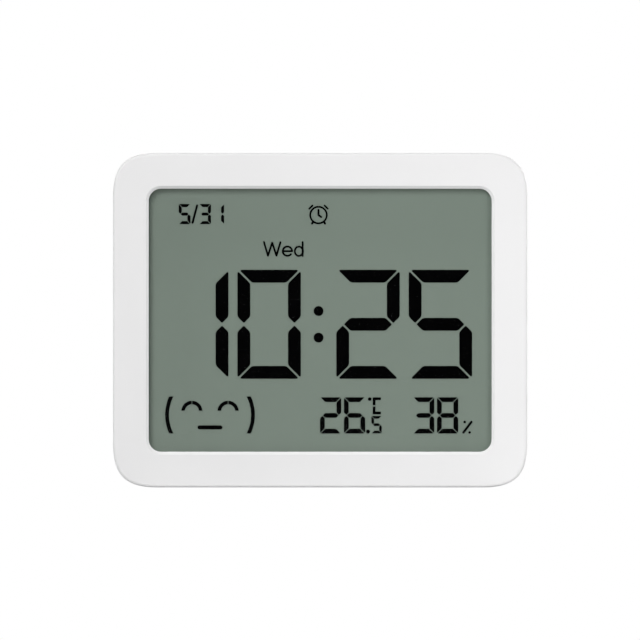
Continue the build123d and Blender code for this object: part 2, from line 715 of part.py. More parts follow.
def rear_housing():
    """White tub with the battery bay, stand recess, keyhole, button guides, sensor chamber and vents."""
    shell = slab(case_outline(0), parting + PARTING_GAP, rear_face)
    shell = fillet(edges_at(shell, rear_face), REAR_EDGE_RADIUS)
    inside = case_outline(CASE_WALL)
    tongue = slab(case_outline(CASE_WALL - TONGUE_THICKNESS), parting - TONGUE_LENGTH, rear_inside)
    shell = shell + tongue - slab(inside, parting - TONGUE_LENGTH - OVERRUN, rear_inside)

    bay_block, bay_hollow = bay_boxes()
    recess_block, recess_hollow, finger_scoop = recess_boxes()
    key_block, key_pocket, key_hole = keyhole_boxes()
    u, v = sensor_place
    chamber = Rectangle(CHAMBER_WIDTH + 2 * CHAMBER_WALL, CHAMBER_HEIGHT + 2 * CHAMBER_WALL)
    chamber -= Rectangle(CHAMBER_WIDTH, CHAMBER_HEIGHT)
    guide_radius = FLANGE_DIAMETER / 2 + BUTTON_GAP
    guide = Circle(guide_radius + GUIDE_WALL) - Circle(guide_radius)
    seat_radius = SOUNDER_DIAMETER / 2 + FIT_GAP
    seat_wall = Circle(seat_radius + SEAT_WALL) - Circle(seat_radius)
    seat_ledge = Circle(seat_radius + SEAT_WALL) - Circle(seat_radius - SEAT_LEDGE)
    seat_front = rear_inside - SEAT_HEIGHT

    shell += [bay_block, recess_block, key_block, *pivot_blocks()]
    wells = rods(housing_screw_places, well_radius, well_end + FIT_GAP / 2, rear_inside)
    shell += [well & slab(case_outline(CASE_WALL / 2), front_face, rear_face) for well in wells]
    shell += slab(Pos(u, v) * chamber, board_back + FOAM_THICKNESS, rear_inside)
    shell += [slab(Pos(*place) * guide, rear_inside - GUIDE_DEPTH, rear_inside) for place in button_places]
    shell += slab(Pos(*sounder_place) * seat_ledge, seat_front, rear_inside)
    shell += slab(Pos(*sounder_place) * seat_wall, seat_front - SOUNDER_PLATE - FIT_GAP, seat_front)

    opening = Pos(bay_middle, 0) * RectangleRounded(
        door_width + 2 * DOOR_GAP, door_height + 2 * DOOR_GAP, DOOR_CORNER + DOOR_GAP
    )
    shell -= [bay_hollow, recess_hollow, finger_scoop, key_pocket, key_hole]
    shell -= slab(opening, rear_inside, rear_face + OVERRUN)
    shell -= [*door_notches(), *vents(), *sound_holes()]
    shell -= tail_slots(bay_front - OVERRUN, bay_floor + OVERRUN)
    shell -= pivot_bars(PIVOT_DIAMETER / 2 + PIVOT_GAP, STAND_GAP + PIVOT_LENGTH + PIVOT_END_GAP)
    button_hole = BUTTON_DIAMETER / 2 + BUTTON_GAP
    shell -= rods(button_places, button_hole, rear_inside - FIT_GAP, rear_face + OVERRUN)
    shell -= rods(housing_screw_places, well_diameter / 2, well_seat, rear_face + OVERRUN)
    clear_radius = HOUSING_SCREW.shank_diameter / 2 + SCREW_HOLE_GAP
    shell -= rods(housing_screw_places, clear_radius, well_end - OVERRUN, well_seat + FIT_GAP)
    return shell


def screw(kind, place, seat):
    """Pan-head screw from behind, with its head on the seat."""
    u, v = place
    radius = kind.head_diameter / 2
    head = slab(Pos(u, v) * Circle(radius), seat, seat + kind.head_height)
    head = fillet(edges_at(head, seat + kind.head_height), kind.head_height * HEAD_DOME_SHARE)
    shank = slab(Pos(u, v) * Circle(kind.shank_diameter / 2), seat - kind.length, seat)
    tip_edges = edges_at(shank, seat - kind.length)
    shank = chamfer(tip_edges, kind.shank_diameter * TIP_CHAMFER_SHARE)
    span = kind.head_diameter * CROSS_SPAN_SHARE
    width = kind.head_diameter * CROSS_WIDTH_SHARE
    cross = Rectangle(span, width) + Rectangle(width, span)
    top = seat + kind.head_height
    cross_floor = top - kind.head_height * CROSS_DEPTH_SHARE
    return head + shank - slab(Pos(u, v) * cross, cross_floor, top + OVERRUN)


# Display


def display_lens():
    """Clear sheet behind the window."""
    return slab(RectangleRounded(lens_width, lens_height, LENS_RADIUS), lens_front, lens_back)


def lens_adhesive():
    """Frame of double-sided tape between the bezel and the lens."""
    tape = RectangleRounded(lens_width - 2 * FIT_GAP, lens_height - 2 * FIT_GAP, LENS_RADIUS)
    hole_width, hole_height = window_width + 2 * ADHESIVE_INSET, window_height + 2 * ADHESIVE_INSET
    hole = RectangleRounded(hole_width, hole_height, WINDOW_RADIUS)
    return slab(tape - hole, bezel_back, lens_front)


def film(front):
    """Thin film on one side of the glass."""
    sheet = Rectangle(glass_width - 2 * FILM_INSET, glass_height - 2 * FILM_INSET)
    return slab(sheet, front, front + FILM_THICKNESS)


def front_glass_sheet():
    """Front glass, longer at the bottom where the connector presses on it."""
    half = glass_width / 2
    return slab(box(-half, half, glass_bottom, glass_height / 2), front_glass, cell_front)


def rear_glass_sheet():
    """Rear glass."""
    return slab(Rectangle(glass_width, glass_height), rear_glass, reflector_front)


def cell_seal():
    """Seal round the edge of the liquid crystal, which keeps the two glasses apart."""
    ring = Rectangle(glass_width, glass_height)
    ring -= Rectangle(glass_width - 2 * SEAL_WIDTH, glass_height - 2 * SEAL_WIDTH)
    return slab(ring, cell_front, rear_glass)


def segment(letter, size):
    """One segment of a seven-segment digit, drawn about the digit's middle."""
    edge, top, stroke = size.width / 2, size.height / 2, size.stroke
    bar_gap, post_gap, tip_gap, shoulder, nose = (stroke * share for share in size.mitre_shares)
    half = stroke / 2
    if letter == "g":
        tip = edge - half - tip_gap
        points = [
            (-tip, 0),
            (half - tip, -half),
            (tip - half, -half),
            (tip, 0),
            (tip - half, half),
            (half - tip, half),
        ]
        radii = [nose, shoulder, shoulder, nose, shoulder, shoulder]
        flips = (1, 1)
    elif letter in "ad":
        end = edge - bar_gap
        points = [(-end, top), (stroke - end, top - stroke), (end - stroke, top - stroke), (end, top)]
        radii = [nose, shoulder, shoulder, nose]
        flips = (1, 1 if letter == "a" else -1)
    else:
        end = top - post_gap
        points = [
            (edge, end),
            (edge - stroke, end - stroke),
            (edge - stroke, tip_gap + half),
            (edge - half, tip_gap),
            (edge, tip_gap + half),
        ]
        radii = [nose, shoulder, shoulder, nose, shoulder]
        flips = (1 if letter in "bc" else -1, 1 if letter in "bf" else -1)
    placed = [(flips[0] * x, flips[1] * y) for x, y in points]
    return make_face(FilletPolyline(*placed, radius=radii, close=True))


def digit(character, place, size):
    """Lit segments of one digit."""
    return [Pos(*place) * segment(letter, size) for letter in LIT_SEGMENTS[character]]


def number(characters, middle, pitch, size):
    """A row of digits with one pitch, about its middle."""
    u, v = middle
    start = u - pitch * (len(characters) - 1) / 2
    shapes = []
    for step, character in enumerate(characters):
        shapes += digit(character, (start + step * pitch, v), size)
    return shapes


def display_place(share):
    """Place in the window from its shares."""
    return share[0] * window_width / 2, share[1] * window_height / 2


def beside(place, step):
    """Place a named step away from another."""
    return place[0] + step[0], place[1] + step[1]


def mark(sketches):
    """Lit marks as thin solids on the back of the front glass."""
    return [slab(sketch, cell_front, cell_front + INK_THICKNESS) for sketch in sketches]


def time_digits():
    """Hours and minutes."""
    step = (time_width + TIME_MIDDLE_GAP + time_pitch) / 2
    hours = number("10", beside(time_middle, (-step, 0)), time_pitch, time_digit)
    minutes = number("25", beside(time_middle, (step, 0)), time_pitch, time_digit)
    return hours + minutes


def time_colon():
    """Two round dots."""
    u, v = time_middle
    return [Pos(u, v + side * COLON_PITCH / 2) * Circle(COLON_DIAMETER / 2) for side in (-1, 1)]


def date_digits():
    """Month, slash and day."""
    place = display_place(DATE_SHARE)
    shapes = number("5", beside(place, (-DATE_MONTH_LEFT, 0)), 0, date_digit)
    shapes += number("31", beside(place, (DATE_DAY_MIDDLE, 0)), DATE_DAY_PITCH, date_digit)
    shapes.append(bar(beside(place, DATE_SLASH_FOOT), beside(place, DATE_SLASH_TOP), DATE_SLASH_WIDTH))
    return shapes


def weekday_label():
    """Three letters of the weekday, drawn as strokes."""
    place = display_place(WEEKDAY_SHARE)
    points = [beside(place, point) for point in W_POINTS]
    strokes = [bar(start, end, LETTER_STROKE) for start, end in zip(points, points[1:])]
    w = strokes[0] + strokes[1] + strokes[2] + strokes[3]

    u, v = beside(place, E_PLACE)
    turn = radians(E_OPENING)
    bowl_end = (u + LETTER_BOWL * cos(turn), v - LETTER_BOWL * sin(turn))
    left, right, top = (u - LETTER_BOWL, v), (u + LETTER_BOWL, v), (u, v + LETTER_BOWL)
    e = arc_stroke(right, top, left, LETTER_STROKE)
    e += arc_stroke(left, (u, v - LETTER_BOWL), bowl_end, LETTER_STROKE)
    e += bar(left, right, LETTER_STROKE)

    u, v = beside(place, D_PLACE)
    half = LETTER_STROKE / 2
    ring = Ellipse(D_BOWL + half, LETTER_BOWL + half) - Ellipse(D_BOWL - half, LETTER_BOWL - half)
    d = Pos(u, v) * ring
    d += bar((u + D_STEM, v - LETTER_BOWL), (u + D_STEM, place[1] + D_TOP), LETTER_STROKE)
    return [w, e, d]


def alarm_icon():
    """Round alarm clock with two bells, two feet and two hands."""
    place = display_place(ALARM_SHARE)
    ring = Circle(ALARM_RADIUS + ALARM_STROKE / 2) - Circle(ALARM_RADIUS - ALARM_STROKE / 2)
    face = Pos(*place) * ring
    for side in (-1, 1):
        foot = beside(place, (side * ALARM_FOOT[0], ALARM_FOOT[1]))
        face += bar(foot, beside(place, (side * ALARM_ANKLE[0], ALARM_ANKLE[1])), ALARM_FOOT_STROKE)
    hands = bar(place, beside(place, (0, ALARM_HAND_TOP)), ALARM_HAND_STROKE)
    hands += bar(place, beside(place, ALARM_HAND_SIDE), ALARM_HAND_STROKE)
    bells = [
        bar(
            beside(place, (side * BELL_LOW[0], BELL_LOW[1])),
            beside(place, (side * BELL_HIGH[0], BELL_HIGH[1])),
            BELL_STROKE,
        )
        for side in (-1, 1)
    ]
    return [face, hands, *bells]


def comfort_face():
    """Contented face: two cheeks and two arched eyes, all cut flat at their ends, and a mouth."""
    place = display_place(FACE_SHARE)
    shapes = []
    for side in (-1, 1):
        cheek = arc_stroke(
            beside(place, (side * CHEEK_END, CHEEK_RISE)),
            beside(place, (side * CHEEK_MIDDLE, 0)),
            beside(place, (side * CHEEK_END, -CHEEK_RISE)),
            CHEEK_STROKE,
        )
        shapes.append(cheek & Pos(*place) * Rectangle(3 * CHEEK_MIDDLE, 2 * CHEEK_CUT))
        u, v = beside(place, (side * EYE_SPREAD, EYE_RISE))
        eye = arc_stroke((u - EYE_RADIUS, v), (u, v + EYE_RADIUS), (u + EYE_RADIUS, v), EYE_STROKE)
        eye &= box(u - 2 * EYE_RADIUS, u + 2 * EYE_RADIUS, v + EYE_CUT, v + 2 * EYE_RADIUS)
        shapes.append(eye - Pos(u, v + EYE_RADIUS) * Rectangle(EYE_SPLIT, 2 * EYE_STROKE))
    half = (MOUTH_WIDTH - MOUTH_STROKE) / 2
    mouth = bar(beside(place, (-half, -MOUTH_DROP)), beside(place, (half, -MOUTH_DROP)), MOUTH_STROKE)
    return [*shapes, mouth]


def unit_letter(place):
    """Letter C in two halves."""
    u, v = place
    left, top = u - UNIT_WIDTH / 2, UNIT_HEIGHT / 2
    halves = []
    for side in (-1, 1):
        end, split = sorted((v + side * top, v + side * UNIT_SPLIT / 2))
        post = box(left, left + UNIT_STROKE, end, split)
        far = v + side * top
        near = v + side * (top - UNIT_STROKE)
        bar_low, bar_high = sorted((far, near))
        halves.append(post + box(left, left + UNIT_WIDTH, bar_low, bar_high))
    return halves


def temperature_digits():
    """Whole degrees, point, tenths, degree dot and unit letter."""
    place = display_place(TEMPERATURE_SHARE)
    shapes = number("26", place, reading_pitch, reading_digit)
    shapes += digit("5", beside(place, TENTHS_PLACE), tenths_digit)
    shapes += unit_letter(beside(place, UNIT_PLACE))
    shapes.append(Pos(*beside(place, POINT_PLACE)) * Circle(POINT_DIAMETER / 2))
    shapes.append(Pos(*beside(place, DEGREE_PLACE)) * Circle(DEGREE_DIAMETER / 2))
    return shapes


def humidity_digits():
    """Percentage and its sign."""
    place = display_place(HUMIDITY_SHARE)
    shapes = number("38", place, reading_pitch, reading_digit)
    slash_ends = beside(place, PERCENT_SLASH_FOOT), beside(place, PERCENT_SLASH_TOP)
    shapes.append(bar(*slash_ends, PERCENT_SLASH_WIDTH))
    shapes += [Pos(*beside(place, dot)) * Circle(PERCENT_DOT_DIAMETER / 2) for dot in PERCENT_DOTS]
    return shapes


def connector_box():
    """Section of the elastomer connector, on the ledge of the front glass."""
    middle = -glass_height / 2 - LEDGE_HEIGHT / 2
    half = glass_width / 2 - CONNECTOR_INSET
    return box(-half, half, middle - CONNECTOR_THICKNESS / 2, middle + CONNECTOR_THICKNESS / 2)


def lcd_holder():
    """Plate that presses the glass forward, with a rim, ears at its sides and bosses for the board."""
    half = rim_width / 2
    plate = RectangleRounded(rim_width, board_height, HOLDER_CORNER)
    plate += [Pos(u, v) * Circle(EAR_HEIGHT / 2) for u, v in ear_places]
    plate += [
        box(*sorted((u, side * half - side * HOLDER_RIM)), v - EAR_HEIGHT / 2, v + EAR_HEIGHT / 2)
        for (u, v), side in zip(ear_places, (-1, -1, 1, 1))
    ]
    holder = slab(plate & case_outline(CASE_WALL + FIT_GAP), holder_front, holder_back)
    rim = box(-half, half, rim_bottom, rim_top)
    glass_half = half - HOLDER_RIM
    glass_hole = box(-glass_half, glass_half, rim_bottom + HOLDER_RIM, rim_top - HOLDER_RIM)
    holder += slab(rim - glass_hole, lens_back + FIT_GAP / 2, holder_front)
    holder += rods(board_screw_places, BOARD_BOSS_DIAMETER / 2, lens_front, board_front)
    holder -= slab(offset(connector_box(), FIT_GAP), holder_front - OVERRUN, holder_back + OVERRUN)
    tip = board_back - BOARD_SCREW.length - PILOT_SPARE
    pilot = BOARD_SCREW.shank_diameter / 2 + SHANK_GAP
    holder -= rods(board_screw_places, pilot, tip, board_front + OVERRUN)
    ear_hole = HOLDER_SCREW.shank_diameter / 2 + SCREW_HOLE_GAP
    holder -= rods(ear_places, ear_hole, holder_front - OVERRUN, holder_back + OVERRUN)
    return holder


# Circuit board


def main_board():
    """Circuit board with its screw holes and the slots for the contacts' tails."""
    board = slab(RectangleRounded(board_width, board_height, BOARD_CORNER), board_front, board_back)
    hole = BOARD_SCREW.shank_diameter / 2 + SCREW_HOLE_GAP
    board -= rods(board_screw_places, hole, board_front - OVERRUN, board_back + OVERRUN)
    board -= tail_slots(board_front - OVERRUN, board_back + OVERRUN)
    return board


def controller_chip():
    """Potting over the bare controller, a low dome."""
    section = Plane.YZ * (
        Pos(board_back, case_middle + CHIP_RISE) * make_face(
            [
                Line((0, 0), (CHIP_HEIGHT, 0)),
                ThreePointArc(
                    (CHIP_HEIGHT, 0),
                    (CHIP_HEIGHT * cos(pi / 4), CHIP_RADIUS * sin(pi / 4)),
                    (0, CHIP_RADIUS),
                ),
                Line((0, CHIP_RADIUS), (0, 0)),
            ]
        )
    )
    return revolve(section, Axis((0, 0, case_middle + CHIP_RISE), (0, 1, 0)))


def board_place(share):
    """Place on the board between the bay and the switches, from its shares."""
    right = button_u - SWITCH_SIDE / 2
    return bay_side + (right - bay_side) * share[0], share[1] * board_height / 2


def crystal():
    """Small quartz crystal in its can, lying on the board."""
    u, v = board_place(CRYSTAL_SHARE)
    start = Plane(
        origin=(u, board_back + CRYSTAL_DIAMETER / 2, case_middle + v), x_dir=(0, 1, 0), z_dir=(1, 0, 0)
    )
    can = extrude(start * Circle(CRYSTAL_DIAMETER / 2), amount=CRYSTAL_LENGTH)
    return fillet(can.edges().sort_by(Axis.X)[-1], CRYSTAL_DIAMETER * CAN_EDGE_SHARE)


def small_components():
    """Resistors and capacitors."""
    chips = []
    for share in SMALL_PLACE_SHARES:
        chip = Pos(*board_place(share)) * Rectangle(SMALL_LENGTH, SMALL_WIDTH)
        chips.append(slab(chip, board_back, board_back + SMALL_HEIGHT))
    return chips


def switch_body(place):
    """Push switch with a bore for its plunger."""
    square = Pos(*place) * RectangleRounded(SWITCH_SIDE, SWITCH_SIDE, SWITCH_CORNER)
    body = slab(square, board_back, board_back + SWITCH_HEIGHT)
    bore_end = board_back + PLUNGER_BOTTOM - BUTTON_TRAVEL - PLUNGER_GAP
    bore = Pos(*place) * Circle(PLUNGER_DIAMETER / 2 + PLUNGER_GAP)
    return body - slab(bore, bore_end, board_back + SWITCH_HEIGHT + OVERRUN)


def switch_plunger(place):
    """Plunger of the switch, which moves with its button."""
    disc = Pos(*place) * Circle(PLUNGER_DIAMETER / 2)
    return slab(disc, board_back + PLUNGER_BOTTOM, plunger_end)


def button_mark(name):
    """Sign sunk into a button's top: a ring, a plus or a minus."""
    if name == "set":
        return Circle(MARK_SPAN / 2) - Circle(MARK_SPAN / 2 - MARK_LINE)
    sign = SlotOverall(MARK_SPAN, MARK_LINE)
    return sign + SlotOverall(MARK_SPAN, MARK_LINE, rotation=90) if name == "plus" else sign


def button(name, place):
    """Button cap with its flange and the stem that reaches the switch."""
    top = rear_face + BUTTON_OUT
    cap = slab(Pos(*place) * Circle(BUTTON_DIAMETER / 2), flange_front, top)
    cap = fillet(edges_at(cap, top), BUTTON_EDGE)
    cap += slab(Pos(*place) * Circle(FLANGE_DIAMETER / 2), flange_front, flange_back)
    cap += slab(Pos(*place) * Circle(STEM_DIAMETER / 2), plunger_end, flange_front)
    return cap - slab(Pos(*place) * button_mark(name), top - MARK_DEPTH, top + OVERRUN)


def humidity_sensor():
    """Sensor package with its small port."""
    square = Pos(*sensor_place) * Rectangle(SENSOR_SIDE, SENSOR_SIDE)
    top = board_back + SENSOR_HEIGHT
    port = slab(Pos(*sensor_place) * Circle(SENSOR_PORT / 2), top - SENSOR_PORT_DEPTH, top + OVERRUN)
    return slab(square, board_back, top) - port


def sensor_seal():
    """Foam frame between the board and the sensor's chamber."""
    width, height = CHAMBER_WIDTH + 2 * CHAMBER_WALL, CHAMBER_HEIGHT + 2 * CHAMBER_WALL
    frame = Rectangle(width, height) - Rectangle(width - 2 * FOAM_WIDTH, height - 2 * FOAM_WIDTH)
    return slab(Pos(*sensor_place) * frame, board_back, board_back + FOAM_THICKNESS)


def sounder():
    """Brass plate and the ceramic disc on it."""
    plate_back = rear_inside - SEAT_HEIGHT
    plate_front = plate_back - SOUNDER_PLATE
    plate = slab(Pos(*sounder_place) * Circle(SOUNDER_DIAMETER / 2), plate_front, plate_back)
    ceramic = Pos(*sounder_place) * Circle(CERAMIC_DIAMETER / 2)
    disc = slab(ceramic, plate_front - CERAMIC_THICKNESS, plate_front)
    return plate, disc


def sounder_lead(start_u, start_y, end_u, sway):
    """Lead from the sounder forward to the board, with its two solder joints."""
    v = sounder_place[1]
    height = case_middle + v
    middle_y = (start_y + board_back) / 2
    path = FilletPolyline(
        (start_u, start_y - SOLDER_HEIGHT, height),
        (start_u, middle_y + LEAD_BEND, height),
        (start_u + sway, middle_y, height + sway),
        (end_u, middle_y - LEAD_BEND / 2, height),
        (end_u, board_back + SOLDER_HEIGHT, height),
        radius=LEAD_DIAMETER,
    )
    start = Plane(origin=path @ 0, z_dir=path % 0)
    wire = sweep(start * Circle(LEAD_DIAMETER / 2), path=path)
    joints = [
        slab(Pos(start_u, v) * Circle(SOLDER_DIAMETER / 2), start_y - SOLDER_HEIGHT, start_y),
        slab(Pos(end_u, v) * Circle(SOLDER_DIAMETER / 2), board_back, board_back + SOLDER_HEIGHT),
    ]
    return [wire, *joints]


# Batteries


def upright(radius, place_x, low, high):
    """Round bar along Z on a cell's axis, between two heights from the middle of the case."""
    base = Plane(origin=(place_x, cell_axis, case_middle + low), z_dir=(0, 0, 1))
    return extrude(base * Circle(radius), amount=high - low)


def cell(side):
    """Steel can and printed sleeve of one cell. The left one has its nub up, the right one down."""
    x = bay_middle + side * cell_offset
    end = bay_height / 2 - CONTACT_THICKNESS - DIMPLE_HEIGHT
    up = -side
    nub_end, body_end, flat_end = up * end, up * (end - NUB_HEIGHT), up * (end - CELL_LENGTH)
    radius = CELL_DIAMETER / 2 - JACKET_THICKNESS - JACKET_SLIP
    can = upright(radius, x, *sorted((body_end, flat_end)))
    can = fillet(can.edges().filter_by(GeomType.CIRCLE), CELL_EDGE_RADIUS)
    can += upright(NUB_DIAMETER / 2, x, *sorted((nub_end, body_end)))
    jacket_low, jacket_high = sorted((body_end - up * JACKET_END_GAP, flat_end + up * JACKET_END_GAP))
    jacket = upright(CELL_DIAMETER / 2, x, jacket_low, jacket_high)
    jacket -= upright(radius + JACKET_SLIP, x, jacket_low - OVERRUN, jacket_high + OVERRUN)
    return can, jacket


def contact_plate(side_places, end, dimple_places, tails):
    """Sheet contact at one end of the bay, with dimples and tails."""
    low, high = sorted((end * bay_height / 2, end * (bay_height / 2 - CONTACT_THICKNESS)))
    left = bay_middle + min(side_places) * cell_offset - CONTACT_WIDTH / 2
    right = bay_middle + max(side_places) * cell_offset + CONTACT_WIDTH / 2
    plane = Plane(origin=(0, 0, case_middle + low), z_dir=(0, 0, 1))
    outline = RectangleRounded(right - left, CONTACT_HEIGHT, CONTACT_CORNER)
    plate = extrude(plane * Pos((left + right) / 2, cell_axis) * outline, amount=high - low)
    for side in dimple_places:
        inner = end * (bay_height / 2 - CONTACT_THICKNESS)
        ends = sorted((inner, inner - end * DIMPLE_HEIGHT))
        dimple = upright(DIMPLE_DIAMETER / 2, bay_middle + side * cell_offset, *ends)
        plate += dimple
    for u, v in tails:
        tail = Pos(u, v) * Rectangle(TAIL_WIDTH, CONTACT_THICKNESS)
        plate += slab(tail, board_front - TAIL_END, cell_axis)
    return plate


def contact_spring(side, end):
    """Tapered spring that presses on a cell's flat end, in half turns that meet in line."""
    x = bay_middle + side * cell_offset
    start = end * (bay_height / 2 - CONTACT_THICKNESS - SPRING_WIRE / 2 - SPRING_SEAT_GAP)
    rise = -end * (SPRING_LENGTH - SPRING_WIRE - 2 * SPRING_SEAT_GAP)
    points = []
    for step in range(SPRING_HALF_TURNS + 1):
        share = step / SPRING_HALF_TURNS
        radius = SPRING_BASE_RADIUS + (SPRING_TIP_RADIUS - SPRING_BASE_RADIUS) * share
        points.append((radius * (-1) ** step, case_middle + start + rise * share))
    arcs = []
    for step, ((near, low), (far, high)) in enumerate(zip(points, points[1:])):
        bulge = abs(near - far) / 2 * (-1) ** step
        middle = (x + (near + far) / 2, cell_axis + bulge, (low + high) / 2)
        arcs.append(ThreePointArc((x + near, cell_axis, low), middle, (x + far, cell_axis, high)))
    path = Wire([arc.edge() for arc in arcs])
    return sweep(Plane(origin=path @ 0, z_dir=path % 0) * Circle(SPRING_WIRE / 2), path=path)


def battery_door():
    """Door over the bay, with two hooks at its foot, a tongue at its top and grip lines."""
    plate = slab(
        Pos(bay_middle, 0) * RectangleRounded(door_width, door_height, DOOR_CORNER),
        rear_inside + DOOR_SEAT_GAP,
        rear_face,
    )
    hook_back = rear_inside - HOOK_GAP
    hook_front = hook_back - HOOK_THICKNESS
    stem_top = FIT_GAP / 2 - bay_height / 2
    for side in (-1, 1):
        middle = bay_middle + side * HOOK_SPREAD / 2
        left, right = middle - HOOK_WIDTH / 2, middle + HOOK_WIDTH / 2
        plate += slab(box(left, right, -door_height / 2, stem_top), hook_front, rear_inside + DOOR_SEAT_GAP)
        plate += slab(box(left, right, door_pivot - HOOK_REACH, stem_top), hook_front, hook_back)
    half = TONGUE_WIDTH / 2
    tongue = box(
        bay_middle - half, bay_middle + half, bay_height / 2 + TONGUE_SLIP, door_height / 2 - TONGUE_INSET
    )
    plate += slab(tongue, rear_inside - TONGUE_DEPTH, rear_inside + DOOR_SEAT_GAP)
    grip = SlotOverall(GRIP_WIDTH, GRIP_LINE)
    for step in range(GRIP_LINES):
        place = Pos(bay_middle, door_height / 2 - GRIP_FROM_TOP - step * GRIP_PITCH)
        plate -= slab(place * grip, rear_face - GRIP_DEPTH, rear_face + OVERRUN)
    return plate


# Stand


def stand_leg():
    """Fold-out leg with its moulded pivots and the heel that stops it."""
    top, foot = leg_axis_v + leg_heel, leg_axis_v - leg_length + PAD_HEIGHT
    foot_corners = leg_outline(top, foot, 0).vertices().sort_by(Axis.Y)[:2]
    leg = slab(fillet(foot_corners, LEG_CORNER), leg_axis_y - leg_half, rear_face)
    hollow_middle = (leg_axis_v + foot) / 2
    hollow = RectangleRounded(leg_width - 2 * LEG_SLOT_SIDE, LEG_SLOT_HEIGHT, LEG_SLOT_CORNER)
    leg -= slab(Pos(0, hollow_middle) * hollow, rear_face - LEG_SLOT_DEPTH, rear_face + OVERRUN)
    leg += pivot_bars(PIVOT_DIAMETER / 2, STAND_GAP + PIVOT_LENGTH)
    return leg


def stand_pad():
    """Rubber foot on the end of the leg."""
    foot = leg_axis_v - leg_length
    half = leg_width / 2 - LEG_TAPER - PAD_INSET
    strip = box(-half, half, foot, foot + PAD_HEIGHT)
    return slab(strip, leg_axis_y - PAD_THICKNESS / 2, leg_axis_y + PAD_THICKNESS / 2)


save("front_bezel", [front_bezel()])
save("rear_housing", [rear_housing()])
save("display_lens", [display_lens()])
save("lens_adhesive", [lens_adhesive()])
save("lcd_front_polariser", [film(polariser_front)])
save("lcd_front_glass", [front_glass_sheet()])
save("lcd_seal", [cell_seal()])
save("lcd_rear_glass", [rear_glass_sheet()])
save("lcd_reflector", [film(reflector_front)])
save("time_digits", mark(time_digits()))
save("time_colon", mark(time_colon()))
save("date_digits", mark(date_digits()))
save("weekday_label", mark(weekday_label()))
save("alarm_icon", mark(alarm_icon()))
save("comfort_face", mark(comfort_face()))
save("temperature_digits", mark(temperature_digits()))
save("humidity_digits", mark(humidity_digits()))
save("lcd_holder", [lcd_holder()])
save("lcd_connector", [slab(connector_box(), cell_front, board_front)])
save("main_board", [main_board()])
save("controller_chip", [controller_chip()])
save("clock_crystal", [crystal()])
save("small_components", small_components())
for name, place in zip(BUTTON_NAMES, button_places):
    save(f"button_{name}", [button(name, place)])
    save(f"switch_body_{name}", [switch_body(place)])
    save(f"switch_plunger_{name}", [switch_plunger(place)])
save("humidity_sensor", [humidity_sensor()])
save("sensor_seal", [sensor_seal()])

brass_plate, ceramic_disc = sounder()
save("sounder_plate", [brass_plate])
save("sounder_ceramic", [ceramic_disc])
plate_front = rear_inside - SEAT_HEIGHT - SOUNDER_PLATE
plate_joint = sounder_place[0] + CERAMIC_DIAMETER / 2 + LEAD_SPREAD / 2
save("sounder_lead_plate", sounder_lead(plate_joint, plate_front, plate_joint - LEAD_SPREAD, LEAD_SWAY / 2))
ceramic_joint = sounder_place[0] - LEAD_SPREAD
save(
    "sounder_lead_ceramic",
    sounder_lead(ceramic_joint, plate_front - CERAMIC_THICKNESS, ceramic_joint + LEAD_SPREAD, LEAD_SWAY / 2),
)

for number_from_left, side in ((1, -1), (2, 1)):
    can, jacket = cell(side)
    save(f"battery_{number_from_left}_can", [can])
    save(f"battery_{number_from_left}_jacket", [jacket])
    save(f"contact_spring_{number_from_left}", [contact_spring(side, side)])
left_tail, right_tail = tail_places()
save("contact_plus", [contact_plate((-1,), 1, (-1,), [left_tail])])
save("contact_minus", [contact_plate((1,), 1, (), [right_tail])])
save("contact_bridge", [contact_plate((-1, 1), -1, (1,), [])])
save("battery_door", [battery_door()])
save("stand_leg", [stand_leg()])
save("stand_pad", [stand_pad()])
save("housing_screws", [screw(HOUSING_SCREW, place, well_seat) for place in housing_screw_places])
save("holder_screws", [screw(HOLDER_SCREW, place, holder_back) for place in ear_places])
save("board_screws", [screw(BOARD_SCREW, place, board_back) for place in board_screw_places])
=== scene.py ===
# %% [markdown]
# # A desk clock with thermometer and hygrometer
# The clock is a white case of moulded plastic with a grey-green segment display in its window. The solid
# model of all its parts is finished already, and this lesson dresses it: a camera, a studio, a finish for
# each part, and the raised arrow that the mould leaves on the battery door.
#
# Everything is in metres. The clock stands on z = 0 and its display faces -Y, which Blender calls the front.

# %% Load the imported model
import json
import math
import bmesh
import bpy
from mathutils import Matrix, Vector


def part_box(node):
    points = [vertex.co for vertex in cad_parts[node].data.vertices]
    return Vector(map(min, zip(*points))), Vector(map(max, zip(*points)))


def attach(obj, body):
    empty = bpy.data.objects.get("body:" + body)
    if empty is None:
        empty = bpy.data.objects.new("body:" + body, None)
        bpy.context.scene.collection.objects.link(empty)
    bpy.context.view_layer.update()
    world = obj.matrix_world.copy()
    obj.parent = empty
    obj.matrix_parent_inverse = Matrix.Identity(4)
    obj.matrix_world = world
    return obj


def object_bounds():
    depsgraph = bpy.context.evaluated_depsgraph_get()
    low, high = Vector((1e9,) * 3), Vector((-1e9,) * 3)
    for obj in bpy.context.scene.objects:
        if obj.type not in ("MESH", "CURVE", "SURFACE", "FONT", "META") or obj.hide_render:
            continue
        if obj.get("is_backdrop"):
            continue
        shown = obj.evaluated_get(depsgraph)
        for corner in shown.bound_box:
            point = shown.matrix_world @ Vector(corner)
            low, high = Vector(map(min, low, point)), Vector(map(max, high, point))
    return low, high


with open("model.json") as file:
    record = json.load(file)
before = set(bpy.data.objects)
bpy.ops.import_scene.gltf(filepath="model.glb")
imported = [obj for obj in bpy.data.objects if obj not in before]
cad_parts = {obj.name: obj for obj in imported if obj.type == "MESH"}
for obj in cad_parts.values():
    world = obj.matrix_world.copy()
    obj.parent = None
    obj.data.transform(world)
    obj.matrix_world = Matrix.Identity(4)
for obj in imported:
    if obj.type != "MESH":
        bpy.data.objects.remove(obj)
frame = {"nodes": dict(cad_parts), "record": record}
scene = bpy.context.scene
MM = 0.001
solid_low, solid_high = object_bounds()
